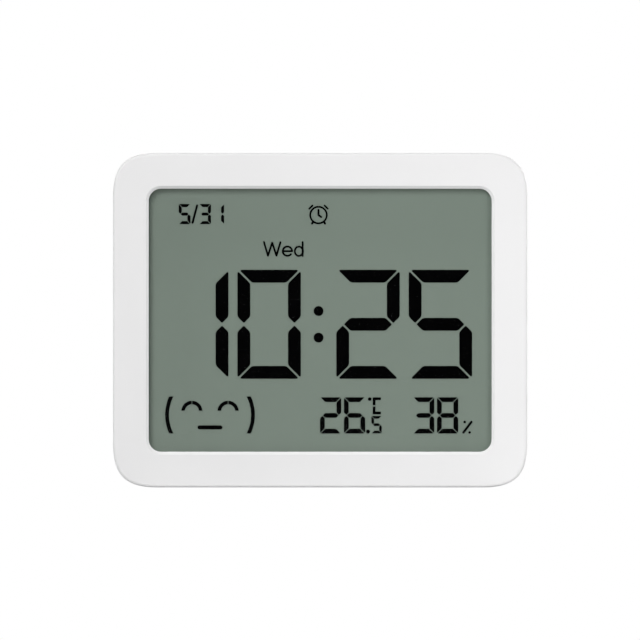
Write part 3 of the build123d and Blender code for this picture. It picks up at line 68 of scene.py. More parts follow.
print("parts", len(frame["nodes"]), "size in mm", [round(v / MM, 2) for v in solid_high - solid_low])

# %% [markdown]
# ## The camera
# The picture looks straight at the display and shows no side of the case, so its lines don't run together.
# An orthographic camera draws exactly that. A long lens from far away would do as well, but then the frame
# would have to be worked out from two numbers instead of one: here the width of the view is the only size.

# %% The camera
VIEW_WIDTH = 154.51 * MM
VIEW_MIDDLE = (-0.04 * MM, 40.4 * MM)
PICTURE_WIDTH = 640
CAMERA_DISTANCE = 0.8
CAMERA_SEES_FROM = 0.01
CAMERA_SEES_TO = 20

camera_data = bpy.data.cameras.new("Camera")
camera_data.type = "ORTHO"
camera_data.ortho_scale = VIEW_WIDTH
camera_data.clip_start = CAMERA_SEES_FROM
camera_data.clip_end = CAMERA_SEES_TO
camera = bpy.data.objects.new("Camera", camera_data)
camera.location = (VIEW_MIDDLE[0], -CAMERA_DISTANCE, VIEW_MIDDLE[1])
camera.rotation_euler = (math.radians(90), 0, 0)
scene.collection.objects.link(camera)
scene.camera = camera
print("one pixel is", round(VIEW_WIDTH / PICTURE_WIDTH / MM, 4), "mm")

# %% [markdown]
# ## The studio
# A product studio is a white room with its lamps off to the sides. In front of the clock it is dark, because
# a clear sheet mirrors what stands before it, and black digits would turn grey under a white reflection.
#
# The world does both jobs. Light Path tells it which rays ask: the camera, mirrors and clear sheets see the
# white room, and dull surfaces get a softer level, so that white plastic doesn't burn out. That level is
# higher behind the clock than in front of it, where the lamps are.
#
# Both levels change from front to back over a ramp. It runs over the Y of the direction, where -1 is
# straight to the front and 1 is straight to the back.

# %% The world
SOFT_FRONT = 0.03
SOFT_BACK = 0.15
SOFT_TURN = (-0.2, 0.4)
MIRRORED_FRONT = 0.005
MIRRORED_BACK = 1.0
MIRRORED_TURN = (-0.97, -0.72)

world = bpy.data.worlds.new("Studio_room")
world.use_nodes = True
scene.world = world
scene.view_settings.view_transform = "Standard"
room, room_links = world.node_tree.nodes, world.node_tree.links
sky = room["Background"]
sky.inputs["Color"].default_value = (1, 1, 1, 1)
direction = room.new("ShaderNodeTexCoord")
split = room.new("ShaderNodeSeparateXYZ")
room_links.new(direction.outputs["Generated"], split.inputs["Vector"])


def room_ramp(turn, front, back):
    """A level that goes from front to back while the direction's Y goes through turn."""
    ramp = room.new("ShaderNodeMapRange")
    ramp.interpolation_type = "SMOOTHSTEP"
    ends = {"From Min": turn[0], "From Max": turn[1], "To Min": front, "To Max": back}
    for name, value in ends.items():
        ramp.inputs[name].default_value = value
    room_links.new(split.outputs["Y"], ramp.inputs["Value"])
    return ramp.outputs["Result"]


def add_sum(tree, operation, first, second):
    """One sum in a tree of nodes; a number goes in as a value, and a socket as a link."""
    node = tree.nodes.new("ShaderNodeMath")
    node.operation = operation
    for place, value in enumerate((first, second)):
        if isinstance(value, float):
            node.inputs[place].default_value = value
        else:
            tree.links.new(value, node.inputs[place])
    return node.outputs["Value"]


def add_seen(tree):
    """Two switches: 1 for rays of the camera, mirrors and clear sheets, and 1 for the camera's rays alone."""
    rays = tree.nodes.new("ShaderNodeLightPath").outputs
    mirrored = add_sum(tree, "MAXIMUM", rays["Is Glossy Ray"], rays["Is Transmission Ray"])
    return add_sum(tree, "MAXIMUM", rays["Is Camera Ray"], mirrored), rays["Is Camera Ray"]


walls = world.node_tree
seen, by_camera = add_seen(walls)
mirrored_walls = room_ramp(MIRRORED_TURN, MIRRORED_FRONT, MIRRORED_BACK)
white_walls = add_sum(walls, "MAXIMUM", mirrored_walls, by_camera)
soft_walls = room_ramp(SOFT_TURN, SOFT_FRONT, SOFT_BACK)
unseen = add_sum(walls, "SUBTRACT", 1.0, seen)
white_part = add_sum(walls, "MULTIPLY", white_walls, seen)
soft_part = add_sum(walls, "MULTIPLY", soft_walls, unseen)
room_links.new(add_sum(walls, "ADD", white_part, soft_part), sky.inputs["Strength"])
print("world nodes", len(room))

# %% [markdown]
# ## The lamps
# The picture's shadows say where its light comes from. The display is dark along its left and top edges,
# under the rim of the window, so the main light is up on the left, not far off the line of sight. The bevels
# are as bright as the frame, all but the one that faces down. Three lamps do that from above, left and
# right, so flat that they pass over the window and hardly reach the display. And the frame gets brighter
# from left to right: only a lamp close by falls off that fast, so one stands near on the right, with a small
# one low on the left. The last lamp stands behind the clock, for its back. From the front its mirror image
# would lie on the top of the case and turn it into a white patch on a white ground, so mirrors don't show
# this lamp.
#
# Each lamp is given by the level that it makes on a sheet facing it, where 1 is plain white. The power that
# this takes grows with the square of the distance. The levels were found by rendering each lamp alone and
# looking for the mixture that comes nearest to the picture. Each row gives a lamp's place, its width and its
# level.

# %% The lamps
CLOCK_MIDDLE = Vector((0, 0, 0.04))
LAMPS = {
    "Main_lamp": ((-0.62, -2.3, 0.76), 1.1, 0.495),
    "Top_lamp": ((-0.1, -0.35, 2.2), 0.6, 0.275),
    "Left_lamp": ((-2.2, -0.4, 0.15), 0.6, 0.18),
    "Right_lamp": ((2.2, -0.4, 0.15), 0.6, 0.225),
    "Near_lamp": ((0.1, -0.2, 0.045), 0.07, 0.157),
    "Low_lamp": ((-0.16, -0.9, 0.05), 0.1, 0.053),
    "Back_lamp": ((0.9, 1.1, 0.5), 0.45, 0.88),
}


def add_lamp(name, place, width, level):
    """A square soft lamp at place that looks at the middle of the clock."""
    data = bpy.data.lights.new(name, "AREA")
    data.shape = "SQUARE"
    data.size = width
    reach = CLOCK_MIDDLE - Vector(place)
    data.energy = level * math.pi ** 2 * reach.length_squared
    lamp = bpy.data.objects.new(name, data)
    lamp.location = place
    lamp.rotation_euler = reach.to_track_quat("-Z", "Y").to_euler()
    lamp.visible_camera = False
    scene.collection.objects.link(lamp)
    print(name, "power", round(data.energy, 2), "W")
    return lamp


lamps = {name: add_lamp(name, *row) for name, row in LAMPS.items()}
lamps["Back_lamp"].visible_glossy = False

# %% [markdown]
# ## The floor
# The clock stands on a pale matt table. From straight ahead the table is seen edge-on and can't be seen, but
# it sends light up under the case, and it catches the shadow when the clock is seen from higher up.
#
# A grid with one face is enough. A backdrop that curves up behind the clock would show in the straight view,
# so the table stays flat and the white room is the background. The near lamp hangs so low that it would burn
# a white patch with a sharp edge into the table, so light linking takes the table out of its light.

# %% The floor
FLOOR_HALF = 1.5

floor_shape = bmesh.new()
bmesh.ops.create_grid(floor_shape, x_segments=1, y_segments=1, size=FLOOR_HALF)
floor_mesh = bpy.data.meshes.new("Table")
floor_shape.to_mesh(floor_mesh)
floor_shape.free()
floor = bpy.data.objects.new("Table", floor_mesh)
scene.collection.objects.link(floor)
floor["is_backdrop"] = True
not_lit = bpy.data.collections.new("Not_lit_from_near")
not_lit.objects.link(floor)
not_lit.collection_objects[0].light_linking.link_state = "EXCLUDE"
lamps["Near_lamp"].light_linking.receiver_collection = not_lit
print("table", 2 * FLOOR_HALF, "m wide")

# %% [markdown]
# ## How a finish is made
# A plain colour looks like a drawing. Real surfaces differ a little from spot to spot: the mould's fine
# grain catches the light, some places are smoother than others, and no batch of plastic is quite even.
#
# Those three are the helpers here. All of them read Object coordinates, which are the same metres as the
# model, so a grain of 0.4 mm is written as that and stays that size on every part. Soft noise hardly ever
# leaves the middle of its range, so its values from 0.3 to 0.7 are spread over the whole change.

# %% Helpers for finishes
EVEN = (1, 1, 1)
WHITE = (1, 1, 1)
NOISE_LOW = 0.3
NOISE_HIGH = 0.7


def shader_of(finish):
    """The shader that carries the plain values."""
    return finish.node_tree.nodes["Principled BSDF"]


def start_finish(name, colour, roughness, metallic=0.0):
    """A new material; its plain values stand on the shader, where a pattern can take over from them."""
    finish = bpy.data.materials.new(name)
    finish.use_nodes = True
    shader = shader_of(finish)
    shader.inputs["Base Color"].default_value = (*colour, 1)
    shader.inputs["Roughness"].default_value = roughness
    shader.inputs["Metallic"].default_value = metallic
    return finish


def add_node(finish, kind, **values):
    """A node of a kind, with its plain inputs set by name."""
    node = finish.node_tree.nodes.new(kind)
    for name, value in values.items():
        node.inputs[name].default_value = value
    return node


def join(finish, output, target):
    """A link from one node's output to another's input."""
    finish.node_tree.links.new(output, target)


def add_place(finish, stretch=EVEN, turn=(0, 0, 0)):
    """Object coordinates; a small stretch along an axis draws the pattern out into lines along that axis."""
    place = add_node(finish, "ShaderNodeTexCoord")
    mapping = add_node(finish, "ShaderNodeMapping", Scale=stretch, Rotation=turn)
    join(finish, place.outputs["Object"], mapping.inputs["Vector"])
    return mapping.outputs["Vector"]


def add_speckle(finish, size, detail=2.0, stretch=EVEN):
    """Soft noise whose spots are about size across."""
    noise = add_node(finish, "ShaderNodeTexNoise", Scale=1 / size, Detail=detail)
    join(finish, add_place(finish, stretch), noise.inputs["Vector"])
    return noise.outputs["Fac"]


def vary_colour(finish, pattern, dark, light):
    """The colour goes from dark to light with the pattern."""
    ramp = add_node(finish, "ShaderNodeValToRGB")
    ends = ((NOISE_LOW, dark), (NOISE_HIGH, light))
    for stop, (position, colour) in zip(ramp.color_ramp.elements, ends):
        stop.position = position
        stop.color = (*colour, 1)
    join(finish, pattern, ramp.inputs["Fac"])
    join(finish, ramp.outputs["Color"], shader_of(finish).inputs["Base Color"])


def vary_roughness(finish, pattern, low, high):
    """The gloss changes with the pattern."""
    ends = {"From Min": NOISE_LOW, "From Max": NOISE_HIGH, "To Min": low, "To Max": high}
    spread = add_node(finish, "ShaderNodeMapRange", **ends)
    join(finish, pattern, spread.inputs["Value"])
    join(finish, spread.outputs["Result"], shader_of(finish).inputs["Roughness"])


def add_grain(finish, pattern, depth):
    """The pattern stands out of the surface by depth at most."""
    bump = add_node(finish, "ShaderNodeBump", Distance=depth, Strength=1.0)
    join(finish, pattern, bump.inputs["Height"])
    join(finish, bump.outputs["Normal"], shader_of(finish).inputs["Normal"])


print("finish helpers ready")

# %% [markdown]
# ## Moulded plastic
# The case, the stand and the battery door are white plastic from a polished mould with a light texture. The
# buttons, switches, holder and sensor are other plastics, made in the same way with other numbers, so one
# function makes them all: a fine grain, patches a dozen grains wide that are a little smoother or duller,
# and clouds forty grains wide of a slightly darker or lighter colour.
#
# Each row has a slot of the record, and then a name, a colour, a roughness, the grain's size and depth in
# millimetres, and the share by which the colour drifts to each side of its own.

# %% Moulded plastics
CLOUD_GRAINS = 40
PATCH_GRAINS = 12
PATCH_DETAIL = 4.0
PATCH_GLOSS = 0.06
FINISHES = {}


def add_plastic(slot, name, colour, roughness, grain, depth, drift):
    """A plastic with a mould's grain."""
    finish = start_finish(name, colour, roughness)
    clouds = add_speckle(finish, CLOUD_GRAINS * grain * MM)
    vary_colour(finish, clouds, [v * (1 - drift) for v in colour], [v * (1 + drift) for v in colour])
    patches = add_speckle(finish, PATCH_GRAINS * grain * MM, PATCH_DETAIL)
    vary_roughness(finish, patches, roughness - PATCH_GLOSS, roughness + PATCH_GLOSS)
    add_grain(finish, add_speckle(finish, grain * MM), depth * MM)
    FINISHES[slot] = finish


for row in (
    ("case_plastic", "White_case", (0.872, 0.869, 0.872), 0.42, 0.4, 0.004, 0.006),
    ("button_plastic", "Grey_button", (0.78, 0.78, 0.775), 0.32, 0.25, 0.002, 0.01),
    ("holder_plastic", "Grey_holder", (0.5, 0.5, 0.5), 0.5, 0.4, 0.008, 0.02),
    ("switch_plastic", "Black_switch", (0.02, 0.02, 0.02), 0.4, 0.2, 0.004, 0.15),
    ("plunger_plastic", "Grey_plunger", (0.6, 0.6, 0.6), 0.35, 0.2, 0.002, 0.02),
    ("sensor_plastic", "Black_sensor", (0.03, 0.03, 0.03), 0.45, 0.1, 0.002, 0.15),
):
    add_plastic(*row)
print("plastics", len(FINISHES))

# %% [markdown]
# ## The clear sheets
# Over the display lie a polished lens, a polarising film and the front glass of the cell. Blender's glass
# would bend each ray and turn lamplight away, and the display behind would come out dark. A sheet this thin
# hardly bends anything, so light goes straight through and only the polish shows, more at a flat angle.
# Fresnel gives that, and it is left out where a ray comes out of the sheet again, because there it would act
# as a mirror.
#
# Faint wipe marks break up the shine of the lens: wide soft spots, drawn out along one axis, that are a
# little duller.

# %% The lens
LENS_IOR = 1.49
LENS_ROUGHNESS = 0.02
WIPED_ROUGHNESS = 0.08
WIPE_WIDTH = 9 * MM
WIPE_DETAIL = 5.0
WIPE_STRETCH = (1, 1, 0.35)

lens = start_finish("Clear_lens", WHITE, LENS_ROUGHNESS)
lens_tree = lens.node_tree
lens_tree.nodes.remove(shader_of(lens))
through = add_node(lens, "ShaderNodeBsdfTransparent")
polish = add_node(lens, "ShaderNodeBsdfGlossy")
wiped = add_node(lens, "ShaderNodeMapRange", **{"To Min": LENS_ROUGHNESS, "To Max": WIPED_ROUGHNESS})
join(lens, add_speckle(lens, WIPE_WIDTH, WIPE_DETAIL, WIPE_STRETCH), wiped.inputs["Value"])
join(lens, wiped.outputs["Result"], polish.inputs["Roughness"])
edge = add_node(lens, "ShaderNodeFresnel", IOR=LENS_IOR)
behind = add_node(lens, "ShaderNodeNewGeometry").outputs["Backfacing"]
entering = add_sum(lens_tree, "SUBTRACT", 1.0, behind)
polish_mix = add_node(lens, "ShaderNodeMixShader")
join(lens, add_sum(lens_tree, "MULTIPLY", edge.outputs["Fac"], entering), polish_mix.inputs["Fac"])
join(lens, through.outputs["BSDF"], polish_mix.inputs[1])
join(lens, polish.outputs["BSDF"], polish_mix.inputs[2])
join(lens, polish_mix.outputs["Shader"], lens_tree.nodes["Material Output"].inputs["Surface"])
FINISHES["clear_lens"] = lens
print("lens finish ready")

# %% [markdown]
# ## The bonded sheets
# The film and the glass behind the lens are bonded to each other, so they have next to no shine of their
# own. They only take a little light, the film more than the glass, and both have fine streaks that hardly
# show. Nothing bends here either, so the plain shader does, with a low alpha.

# %% The film and the front glass
SHEET_ROUGHNESS = 0.3
SHEET_SHINE = 0.02
STREAK_WIDTH = 2 * MM
STREAK_DETAIL = 3.0
STREAK_STRETCH = (0.1, 1, 1)


def add_sheet(slot, name, colour, cover, streak):
    """A sheet that covers only a small share of what lies behind it, with fine streaks along its length."""
    finish = start_finish(name, colour, SHEET_ROUGHNESS)
    shader_of(finish).inputs["Alpha"].default_value = cover
    shader_of(finish).inputs["Specular IOR Level"].default_value = SHEET_SHINE
    streaks = add_speckle(finish, STREAK_WIDTH, STREAK_DETAIL, STREAK_STRETCH)
    vary_colour(finish, streaks, [v * (1 - streak) for v in colour], colour)
    FINISHES[slot] = finish


add_sheet("polariser_film", "Polariser_film", (0.01, 0.012, 0.01), 0.02, 0.3)
add_sheet("display_glass", "Cell_glass", (0.01, 0.015, 0.012), 0.01, 0.2)
print("sheets", FINISHES["polariser_film"].name, FINISHES["display_glass"].name)

# %% [markdown]
# ## The display ground
# What looks grey-green in the window is the reflector at the back of the cell, seen through the cell. A real
# reflector is a film with a fine sparkle. The ground is put on the rear glass, right behind the marks, so
# that they don't float over it, and the same finish is on the reflector film.

# %% The display ground
GROUND_DARK = (0.224, 0.275, 0.233)
GROUND_LIGHT = (0.232, 0.285, 0.242)
GROUND_ROUGHNESS = (0.5, 0.65)
GROUND_SHINE = 0.1
CLOUD_WIDTH = 0.5 * MM
CLOUD_DETAIL = 4.0
GLINT_WIDTH = 0.3 * MM
SPARKLE_WIDTH = 0.2 * MM
SPARKLE_DEPTH = 0.003 * MM


def display_ground(name):
    """A grey-green film with a fine sparkle and a faint cloud."""
    finish = start_finish(name, GROUND_LIGHT, 0.55)
    shader_of(finish).inputs["Specular IOR Level"].default_value = GROUND_SHINE
    vary_colour(finish, add_speckle(finish, CLOUD_WIDTH, CLOUD_DETAIL), GROUND_DARK, GROUND_LIGHT)
    vary_roughness(finish, add_speckle(finish, GLINT_WIDTH), *GROUND_ROUGHNESS)
    add_grain(finish, add_speckle(finish, SPARKLE_WIDTH), SPARKLE_DEPTH)
    return finish


FINISHES["reflector_film"] = display_ground("Reflector_film")
REAR_GLASS = display_ground("Rear_glass_ground")
print("ground colour", GROUND_LIGHT)

# %% [markdown]
# ## The marks in the display
# A driven segment turns the light that goes through it, and the film in front stops it: the mark is black,
# with no gloss of its own, because it lies inside the cell. It isn't perfectly even, since the liquid is a
# little thicker in some places.
#
# The resin round the rim of the cell and the tape under the lens have a grain and patches as plastics have,
# so the function for plastics makes them, with a deeper grain for the tape's foam.

# %% Display ink, cell seal and tape
INK_BLACK = (0.0004, 0.0004, 0.0006)
INK_THIN = (0.001, 0.001, 0.0012)
INK_ROUGHNESS = (0.5, 0.7)
INK_CLOUD_WIDTH = 3 * MM
INK_GRAIN_WIDTH = 1 * MM

ink = start_finish("Display_ink", (0.0006, 0.0006, 0.0008), 0.6)
shader_of(ink).inputs["Specular IOR Level"].default_value = 0
vary_colour(ink, add_speckle(ink, INK_CLOUD_WIDTH), INK_BLACK, INK_THIN)
vary_roughness(ink, add_speckle(ink, INK_GRAIN_WIDTH), *INK_ROUGHNESS)
FINISHES["display_ink"] = ink
add_plastic("cell_seal", "Cell_seal", (0.2, 0.22, 0.2), 0.6, 0.3, 0.01, 0.08)
add_plastic("adhesive_tape", "Foam_tape", (0.05, 0.05, 0.05), 0.9, 0.25, 0.02, 0.2)
print("display finishes ready")

# %% [markdown]
# ## Rubber and foam
# Rubber is dull and a bit uneven, and the soft cover of the two leads is a little glossier. The function for
# plastics makes them all.
#
# The foam round the sensor is a sponge with cells of about half a millimetre, which a Voronoi pattern gives:
# each of its cells is a pit, and the colour is painted darker towards each pit's middle as painted shade.
#
# The connector between glass and board is a strip of silicone with many thin conducting layers, seen as fine
# dark lines across it. A wave pattern along its length draws them.

# %% Rubber, foam and the striped connector
PIT_WIDTH = 0.5 * MM
PIT_DEPTH = 0.15 * MM
PIT_PAINTED_SHADE = (0.03, 0.03, 0.03)
FOAM_GREY = (0.1, 0.1, 0.1)
STRIPE_WIDTH = 0.6 * MM
STRIPE_HEIGHT = 0.01 * MM
STRIPE_WANDER = 0.4
CARBON_BLACK = (0.02, 0.02, 0.02)
SILICONE_PINK = (0.75, 0.45, 0.45)

add_plastic("pad_rubber", "Grey_rubber", (0.25, 0.25, 0.25), 0.8, 0.3, 0.02, 0.06)
add_plastic("red_lead", "Red_lead", (0.5, 0.02, 0.02), 0.5, 0.3, 0.01, 0.08)
add_plastic("black_lead", "Black_lead", (0.02, 0.02, 0.02), 0.5, 0.3, 0.01, 0.2)
foam = start_finish("Seal_foam", (0.08, 0.08, 0.08), 0.95)
pits = add_node(foam, "ShaderNodeTexVoronoi", Scale=1 / PIT_WIDTH)
join(foam, add_place(foam), pits.inputs["Vector"])
# Painted shade: the colour goes dark towards the middle of each pit.
vary_colour(foam, pits.outputs["Distance"], PIT_PAINTED_SHADE, FOAM_GREY)
add_grain(foam, pits.outputs["Distance"], PIT_DEPTH)
FINISHES["seal_foam"] = foam
striped = start_finish("Striped_silicone", SILICONE_PINK, 0.6)
stripes = add_node(striped, "ShaderNodeTexWave", Scale=1 / STRIPE_WIDTH, Distortion=STRIPE_WANDER)
stripes.bands_direction = "X"
join(striped, add_place(striped), stripes.inputs["Vector"])
vary_colour(striped, stripes.outputs["Fac"], CARBON_BLACK, SILICONE_PINK)
add_grain(striped, stripes.outputs["Fac"], STRIPE_HEIGHT)
FINISHES["connector_rubber"] = striped
print("rubber and foam ready")

# %% [markdown]
# ## Metals
# Each metal part is shaped in its own way, and the tool leaves lines: a rolled strip and a drawn can have
# them along their length, and a screw has them along its shank. Noise that is stretched along one axis makes
# such lines, and it drives the gloss and a very shallow bump together. Wide spots that are a little darker
# are where fingers have been.
#
# Each row has a slot, a name, a colour, a roughness, the stretch of the lines, and their depth in
# millimetres.

# %% Metals
LINE_WIDTH = 0.3 * MM
LINE_DETAIL = 4.0
LINE_GLOSS = (-0.08, 0.1)
TARNISH_WIDTH = 4 * MM
TARNISH_DETAIL = 3.0
TARNISH_SHARE = 0.9


def add_metal(slot, name, colour, roughness, stretch, depth):
    """A metal with brushed lines; they run along the axis whose stretch is small."""
    finish = start_finish(name, colour, roughness, metallic=1.0)
    lines = add_speckle(finish, LINE_WIDTH, LINE_DETAIL, stretch)
    tarnish = add_speckle(finish, TARNISH_WIDTH, TARNISH_DETAIL)
    vary_colour(finish, tarnish, [v * TARNISH_SHARE for v in colour], colour)
    vary_roughness(finish, lines, roughness + LINE_GLOSS[0], roughness + LINE_GLOSS[1])
    add_grain(finish, lines, depth * MM)
    FINISHES[slot] = finish


for row in (
    ("battery_steel", "Nickel_steel", (0.65, 0.65, 0.65), 0.3, (1, 1, 0.05), 0.003),
    ("crystal_can", "Crystal_can", (0.7, 0.7, 0.7), 0.25, (0.05, 1, 1), 0.002),
    ("contact_metal", "Contact_strip", (0.72, 0.71, 0.68), 0.25, (1, 1, 0.1), 0.002),
    ("screw_steel", "Zinc_screw", (0.6, 0.6, 0.6), 0.35, (1, 0.1, 1), 0.004),
    ("sounder_brass", "Sounder_brass", (0.78, 0.6, 0.3), 0.28, (0.1, 1, 1), 0.003),
):
    add_metal(*row)
print("metals ready")

# %% [markdown]
# ## The circuit board and what is on it
# A board is glass laminate under green lacquer. The copper tracks below it stand up by a hair and make the
# green lighter. Real tracks run straight and turn in corners, so the pattern is a brick texture: its joints
# are long straight lines in two directions. The texture lies flat and the board stands, so the pattern is
# turned upright. The chip is a drop of black resin, glossy and a bit wavy, and the small parts are fired
# ceramic.

# %% Board, chip and ceramics
BOARD_ROUGHNESS = (0.25, 0.4)
LACQUER_PATCH = 3 * MM
TRACK_HEIGHT = 0.03 * MM
TRACKS = {
    "Color1": (0.02, 0.16, 0.06, 1),
    "Color2": (0.025, 0.18, 0.065, 1),
    "Mortar": (0.07, 0.36, 0.14, 1),
    "Mortar Size": 0.25 * MM,
    "Brick Width": 7 * MM,
    "Row Height": 2.1 * MM,
    "Scale": 1,
}
FLAT_TO_UPRIGHT = (math.radians(90), 0, 0)

board = start_finish("Green_board", (0.03, 0.22, 0.08), 0.3)
tracks = add_node(board, "ShaderNodeTexBrick", **TRACKS)
join(board, add_place(board, turn=FLAT_TO_UPRIGHT), tracks.inputs["Vector"])
join(board, tracks.outputs["Color"], shader_of(board).inputs["Base Color"])
vary_roughness(board, add_speckle(board, LACQUER_PATCH), *BOARD_ROUGHNESS)
add_grain(board, tracks.outputs["Fac"], TRACK_HEIGHT)
FINISHES["board_laminate"] = board
add_plastic("potting", "Black_resin", (0.01, 0.01, 0.01), 0.16, 2, 0.1, 0.2)
add_plastic("component_ceramic", "Tan_ceramic", (0.3, 0.25, 0.2), 0.4, 0.15, 0.004, 0.2)
add_plastic("sounder_ceramic", "Silvered_disc", (0.85, 0.85, 0.8), 0.35, 0.2, 0.006, 0.02)
print("board finishes ready")

# %% [markdown]
# ## The cells
# Two AAA cells lie in the bay, each in a printed shrink sleeve. The sleeve is dark with a coppery band at
# the plus end, and a plus sign is printed on the band. One cell has its plus end up and the other has it
# down, so the band's place is a height in the bay, and each sleeve gets its own material from one function.
#
# The sign is two crossed bars. A bar is where a point is nearer to the sign's middle than half the bar's
# length one way and half its width the other way, which takes one comparison for each.

# %% The battery sleeves
BAND_LENGTH = 11 * MM
SIGN_HALF = 1.6 * MM
SIGN_LINE_HALF = 0.35 * MM
SLEEVE_DARK = (0.02, 0.022, 0.028)
SLEEVE_COPPER = (0.62, 0.32, 0.14)
SLEEVE_ROUGHNESS = (0.16, 0.26)
SHINE_PATCH = 5 * MM
SHINE_DETAIL = 4.0
SHRINK_WIDTH = 0.8 * MM
SHRINK_STRETCH = (1, 1, 0.2)
SHRINK_DEPTH = 0.004 * MM


def add_bar(tree, across, along, half_width, half_length):
    """1 inside a bar that is centred where both distances are 0, and 0 outside it."""
    near_across = add_sum(tree, "LESS_THAN", across, half_width)
    return add_sum(tree, "MULTIPLY", near_across, add_sum(tree, "LESS_THAN", along, half_length))


def add_distance(tree, value, middle):
    """How far a coordinate is from a middle, whichever side it is on."""
    return add_sum(tree, "ABSOLUTE", add_sum(tree, "SUBTRACT", value, middle), 0.0)


def sleeve(name, node, plus_up):
    """A glossy dark sleeve whose band, with its plus sign, is at the upper end, or at the lower one."""
    low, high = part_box(node)
    finish = start_finish(name, SLEEVE_DARK, 0.2)
    tree = finish.node_tree
    split_axes = add_node(finish, "ShaderNodeSeparateXYZ")
    join(finish, add_place(finish), split_axes.inputs["Vector"])
    band_middle = high.z - BAND_LENGTH / 2 if plus_up else low.z + BAND_LENGTH / 2
    along = add_distance(tree, split_axes.outputs["Z"], band_middle)
    across = add_distance(tree, split_axes.outputs["X"], (low.x + high.x) / 2)
    level_bar = add_bar(tree, across, along, SIGN_HALF, SIGN_LINE_HALF)
    upright_bar = add_bar(tree, across, along, SIGN_LINE_HALF, SIGN_HALF)
    sign = add_sum(tree, "MAXIMUM", level_bar, upright_bar)
    band = add_sum(tree, "LESS_THAN", along, BAND_LENGTH / 2)
    vary_colour(finish, add_sum(tree, "SUBTRACT", band, sign), SLEEVE_DARK, SLEEVE_COPPER)
    vary_roughness(finish, add_speckle(finish, SHINE_PATCH, SHINE_DETAIL), *SLEEVE_ROUGHNESS)
    add_grain(finish, add_speckle(finish, SHRINK_WIDTH, stretch=SHRINK_STRETCH), SHRINK_DEPTH)
    return finish


cell_tops = [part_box(f"battery_{cell}_can")[1].z for cell in (1, 2)]
SLEEVES = {}
for cell, top in enumerate(cell_tops, start=1):
    jacket = f"battery_{cell}_jacket"
    SLEEVES[jacket] = sleeve(f"Sleeve_of_cell_{cell}", jacket, top == max(cell_tops))
print("cell tops in mm", [round(v / MM, 2) for v in cell_tops])

# %% [markdown]
# ## Dressing the parts
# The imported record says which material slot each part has. A part gets the finish of its slot, and three
# parts get one of their own: the two sleeves and the rear glass. Only the material slots change here, never
# the shapes.

# %% Every part gets its finish
OWN_FINISH = {**SLEEVES, "lcd_rear_glass": REAR_GLASS}


def dress(node, finish):
    """Puts a finish on a part of the model in place of the plain one that it came with."""
    slots = frame["nodes"][node].data.materials
    slots.clear()
    slots.append(finish)


for part in frame["record"]["subparts"]:
    dress(part["node"], OWN_FINISH.get(part["node"]) or FINISHES[part["material_slot"]])

# %% [markdown]
# ## The arrow on the battery door
# The door's mould has a shallow pocket in the shape of a triangle. The plastic that fills it stands out as
# an arrow, which shows the way that the door's upper edge swings when a thumb on the grip lines opens it.
#
# A bump in the finish could draw it, but it would have no edge when it is seen from the side. So it is a
# shape: a circle with three sides is a triangle, its corners are rounded, it is extruded to its height, and
# its rim is rounded too. It starts a little below the door's skin, so that no gap shows under it.
#
# In a circle with a radius of 1 that triangle is 1.73 wide, the root of 3, and 1.5 long. The scale follows
# from these two.

# %% The arrow on the battery door
ARROW_WIDTH = 5.6 * MM
ARROW_LENGTH = 4.2 * MM
ARROW_FROM_TOP = 15 * MM
ARROW_HEIGHT = 0.35 * MM
ARROW_CORNER = 0.5 * MM
ARROW_RIM = 0.15 * MM
SUNK = 0.05 * MM
TRIANGLE_WIDTH = math.sqrt(3)
TRIANGLE_LENGTH = 1.5
CORNER_STEPS = 4
RIM_STEPS = 2

door_low, door_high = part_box("battery_door")
arrow = bmesh.new()
bmesh.ops.create_circle(arrow, cap_ends=True, segments=3, radius=1)
arrow_scale = (ARROW_WIDTH / TRIANGLE_WIDTH, ARROW_LENGTH / TRIANGLE_LENGTH, 1)
bmesh.ops.scale(arrow, vec=arrow_scale, verts=arrow.verts)
bmesh.ops.bevel(arrow, geom=arrow.verts[:], affect="VERTICES", offset=ARROW_CORNER, segments=CORNER_STEPS,
                profile=0.5, material=-1)
lifted = bmesh.ops.extrude_face_region(arrow, geom=arrow.faces[:])["geom"]
upper = [part for part in lifted if isinstance(part, bmesh.types.BMVert)]
bmesh.ops.translate(arrow, vec=(0, 0, ARROW_HEIGHT + SUNK), verts=upper)
rim = [e for e in arrow.edges if min(v.co.z for v in e.verts) > SUNK]
bmesh.ops.bevel(arrow, geom=rim, affect="EDGES", offset=ARROW_RIM, segments=RIM_STEPS,
                profile=0.5, material=-1)
facing_back = Matrix.Rotation(math.radians(-90), 3, "X")
bmesh.ops.rotate(arrow, cent=(0, 0, 0), matrix=facing_back, verts=arrow.verts)
arrow_place = ((door_low.x + door_high.x) / 2, door_high.y - SUNK, door_high.z - ARROW_FROM_TOP)
bmesh.ops.translate(arrow, vec=arrow_place, verts=arrow.verts)
bmesh.ops.recalc_face_normals(arrow, faces=arrow.faces)
open_edges = sum(not e.is_manifold for e in arrow.edges)
arrow_mesh = bpy.data.meshes.new("Door_arrow")
arrow.to_mesh(arrow_mesh)
arrow.free()
door_arrow = bpy.data.objects.new("Door_arrow", arrow_mesh)
scene.collection.objects.link(door_arrow)
arrow_mesh.materials.append(FINISHES["case_plastic"])
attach(door_arrow, "door")
print("arrow faces", len(arrow_mesh.polygons), "open edges", open_edges)

# %% [markdown]
# ## Light through the clear sheets
# Blender counts every clear face that a ray passes, and after eight it gives up and returns black. Three
# sheets have six faces, and light on its way to the display and back would pass them twice. So only the
# camera and mirrors see the sheets, and the light that falls on the display goes by as if they weren't
# there.

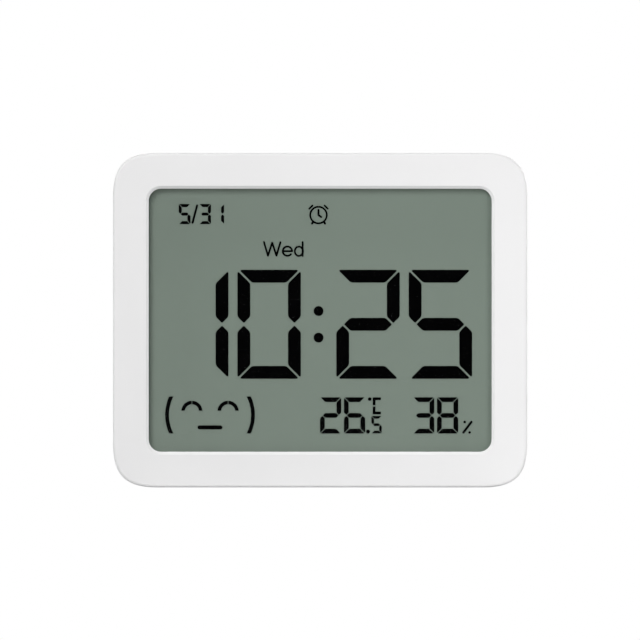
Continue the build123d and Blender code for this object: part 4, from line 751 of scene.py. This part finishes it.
# %% Light passes the clear sheets
for clear in ("display_lens", "lcd_front_polariser", "lcd_front_glass"):
    frame["nodes"][clear].visible_shadow = False
    frame["nodes"][clear].visible_diffuse = False
print("clear sheets let light by")

# %% [markdown]
# ## The table's finish
# The table's finish comes last, because the helpers had to exist first. It is matt, with a hint of
# unevenness.
#
# To look white, a table needs more light than a white case stands before it burns out, and it would light
# the clock strongly from below, which the picture doesn't show. So the table has two sides, as the room has.
# Dull surfaces see a grey one. The camera, mirrors and clear sheets see a pale one that also shines a
# little, so that the picture gets its white ground and keeps the clock's shadow.

# %% The table's finish
TABLE_GLOW = 0.3
TABLE_GREY = (0.45, 0.45, 0.45)
TABLE_PALE = (0.8, 0.8, 0.8)
TABLE_DRIFT = 0.985
TABLE_CLOUD = 200 * MM
TABLE_ROUGHNESS = 0.9
TABLE_SHINE = 0.1

table_top = start_finish("Pale_table", TABLE_PALE, TABLE_ROUGHNESS)
table_shader = shader_of(table_top)
table_shader.inputs["Specular IOR Level"].default_value = TABLE_SHINE
table_shader.inputs["Emission Color"].default_value = (*WHITE, 1)
table_seen = add_seen(table_top.node_tree)[0]
table_light = add_sum(table_top.node_tree, "MULTIPLY", table_seen, TABLE_GLOW)
join(table_top, table_light, table_shader.inputs["Emission Strength"])
table_dark = [v * TABLE_DRIFT for v in TABLE_PALE]
vary_colour(table_top, add_speckle(table_top, TABLE_CLOUD), table_dark, TABLE_PALE)
pale_link = table_shader.inputs["Base Color"].links[0]
two_sides = add_node(table_top, "ShaderNodeMixRGB", Color1=(*TABLE_GREY, 1))
join(table_top, pale_link.from_socket, two_sides.inputs["Color2"])
join(table_top, table_seen, two_sides.inputs["Fac"])
join(table_top, two_sides.outputs["Color"], table_shader.inputs["Base Color"])
floor_mesh.materials.append(table_top)
print("table finished")

# %% [markdown]
# ## The size
# The dressed clock should be as large as its solid model, so the growth of its box over the solid model's box
# is printed.

# %% Sizes, and the end
shown_low, shown_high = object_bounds()
growth = (shown_high - shown_low) - (solid_high - solid_low)
print("grown by in mm", [round(v / MM, 3) for v in growth])
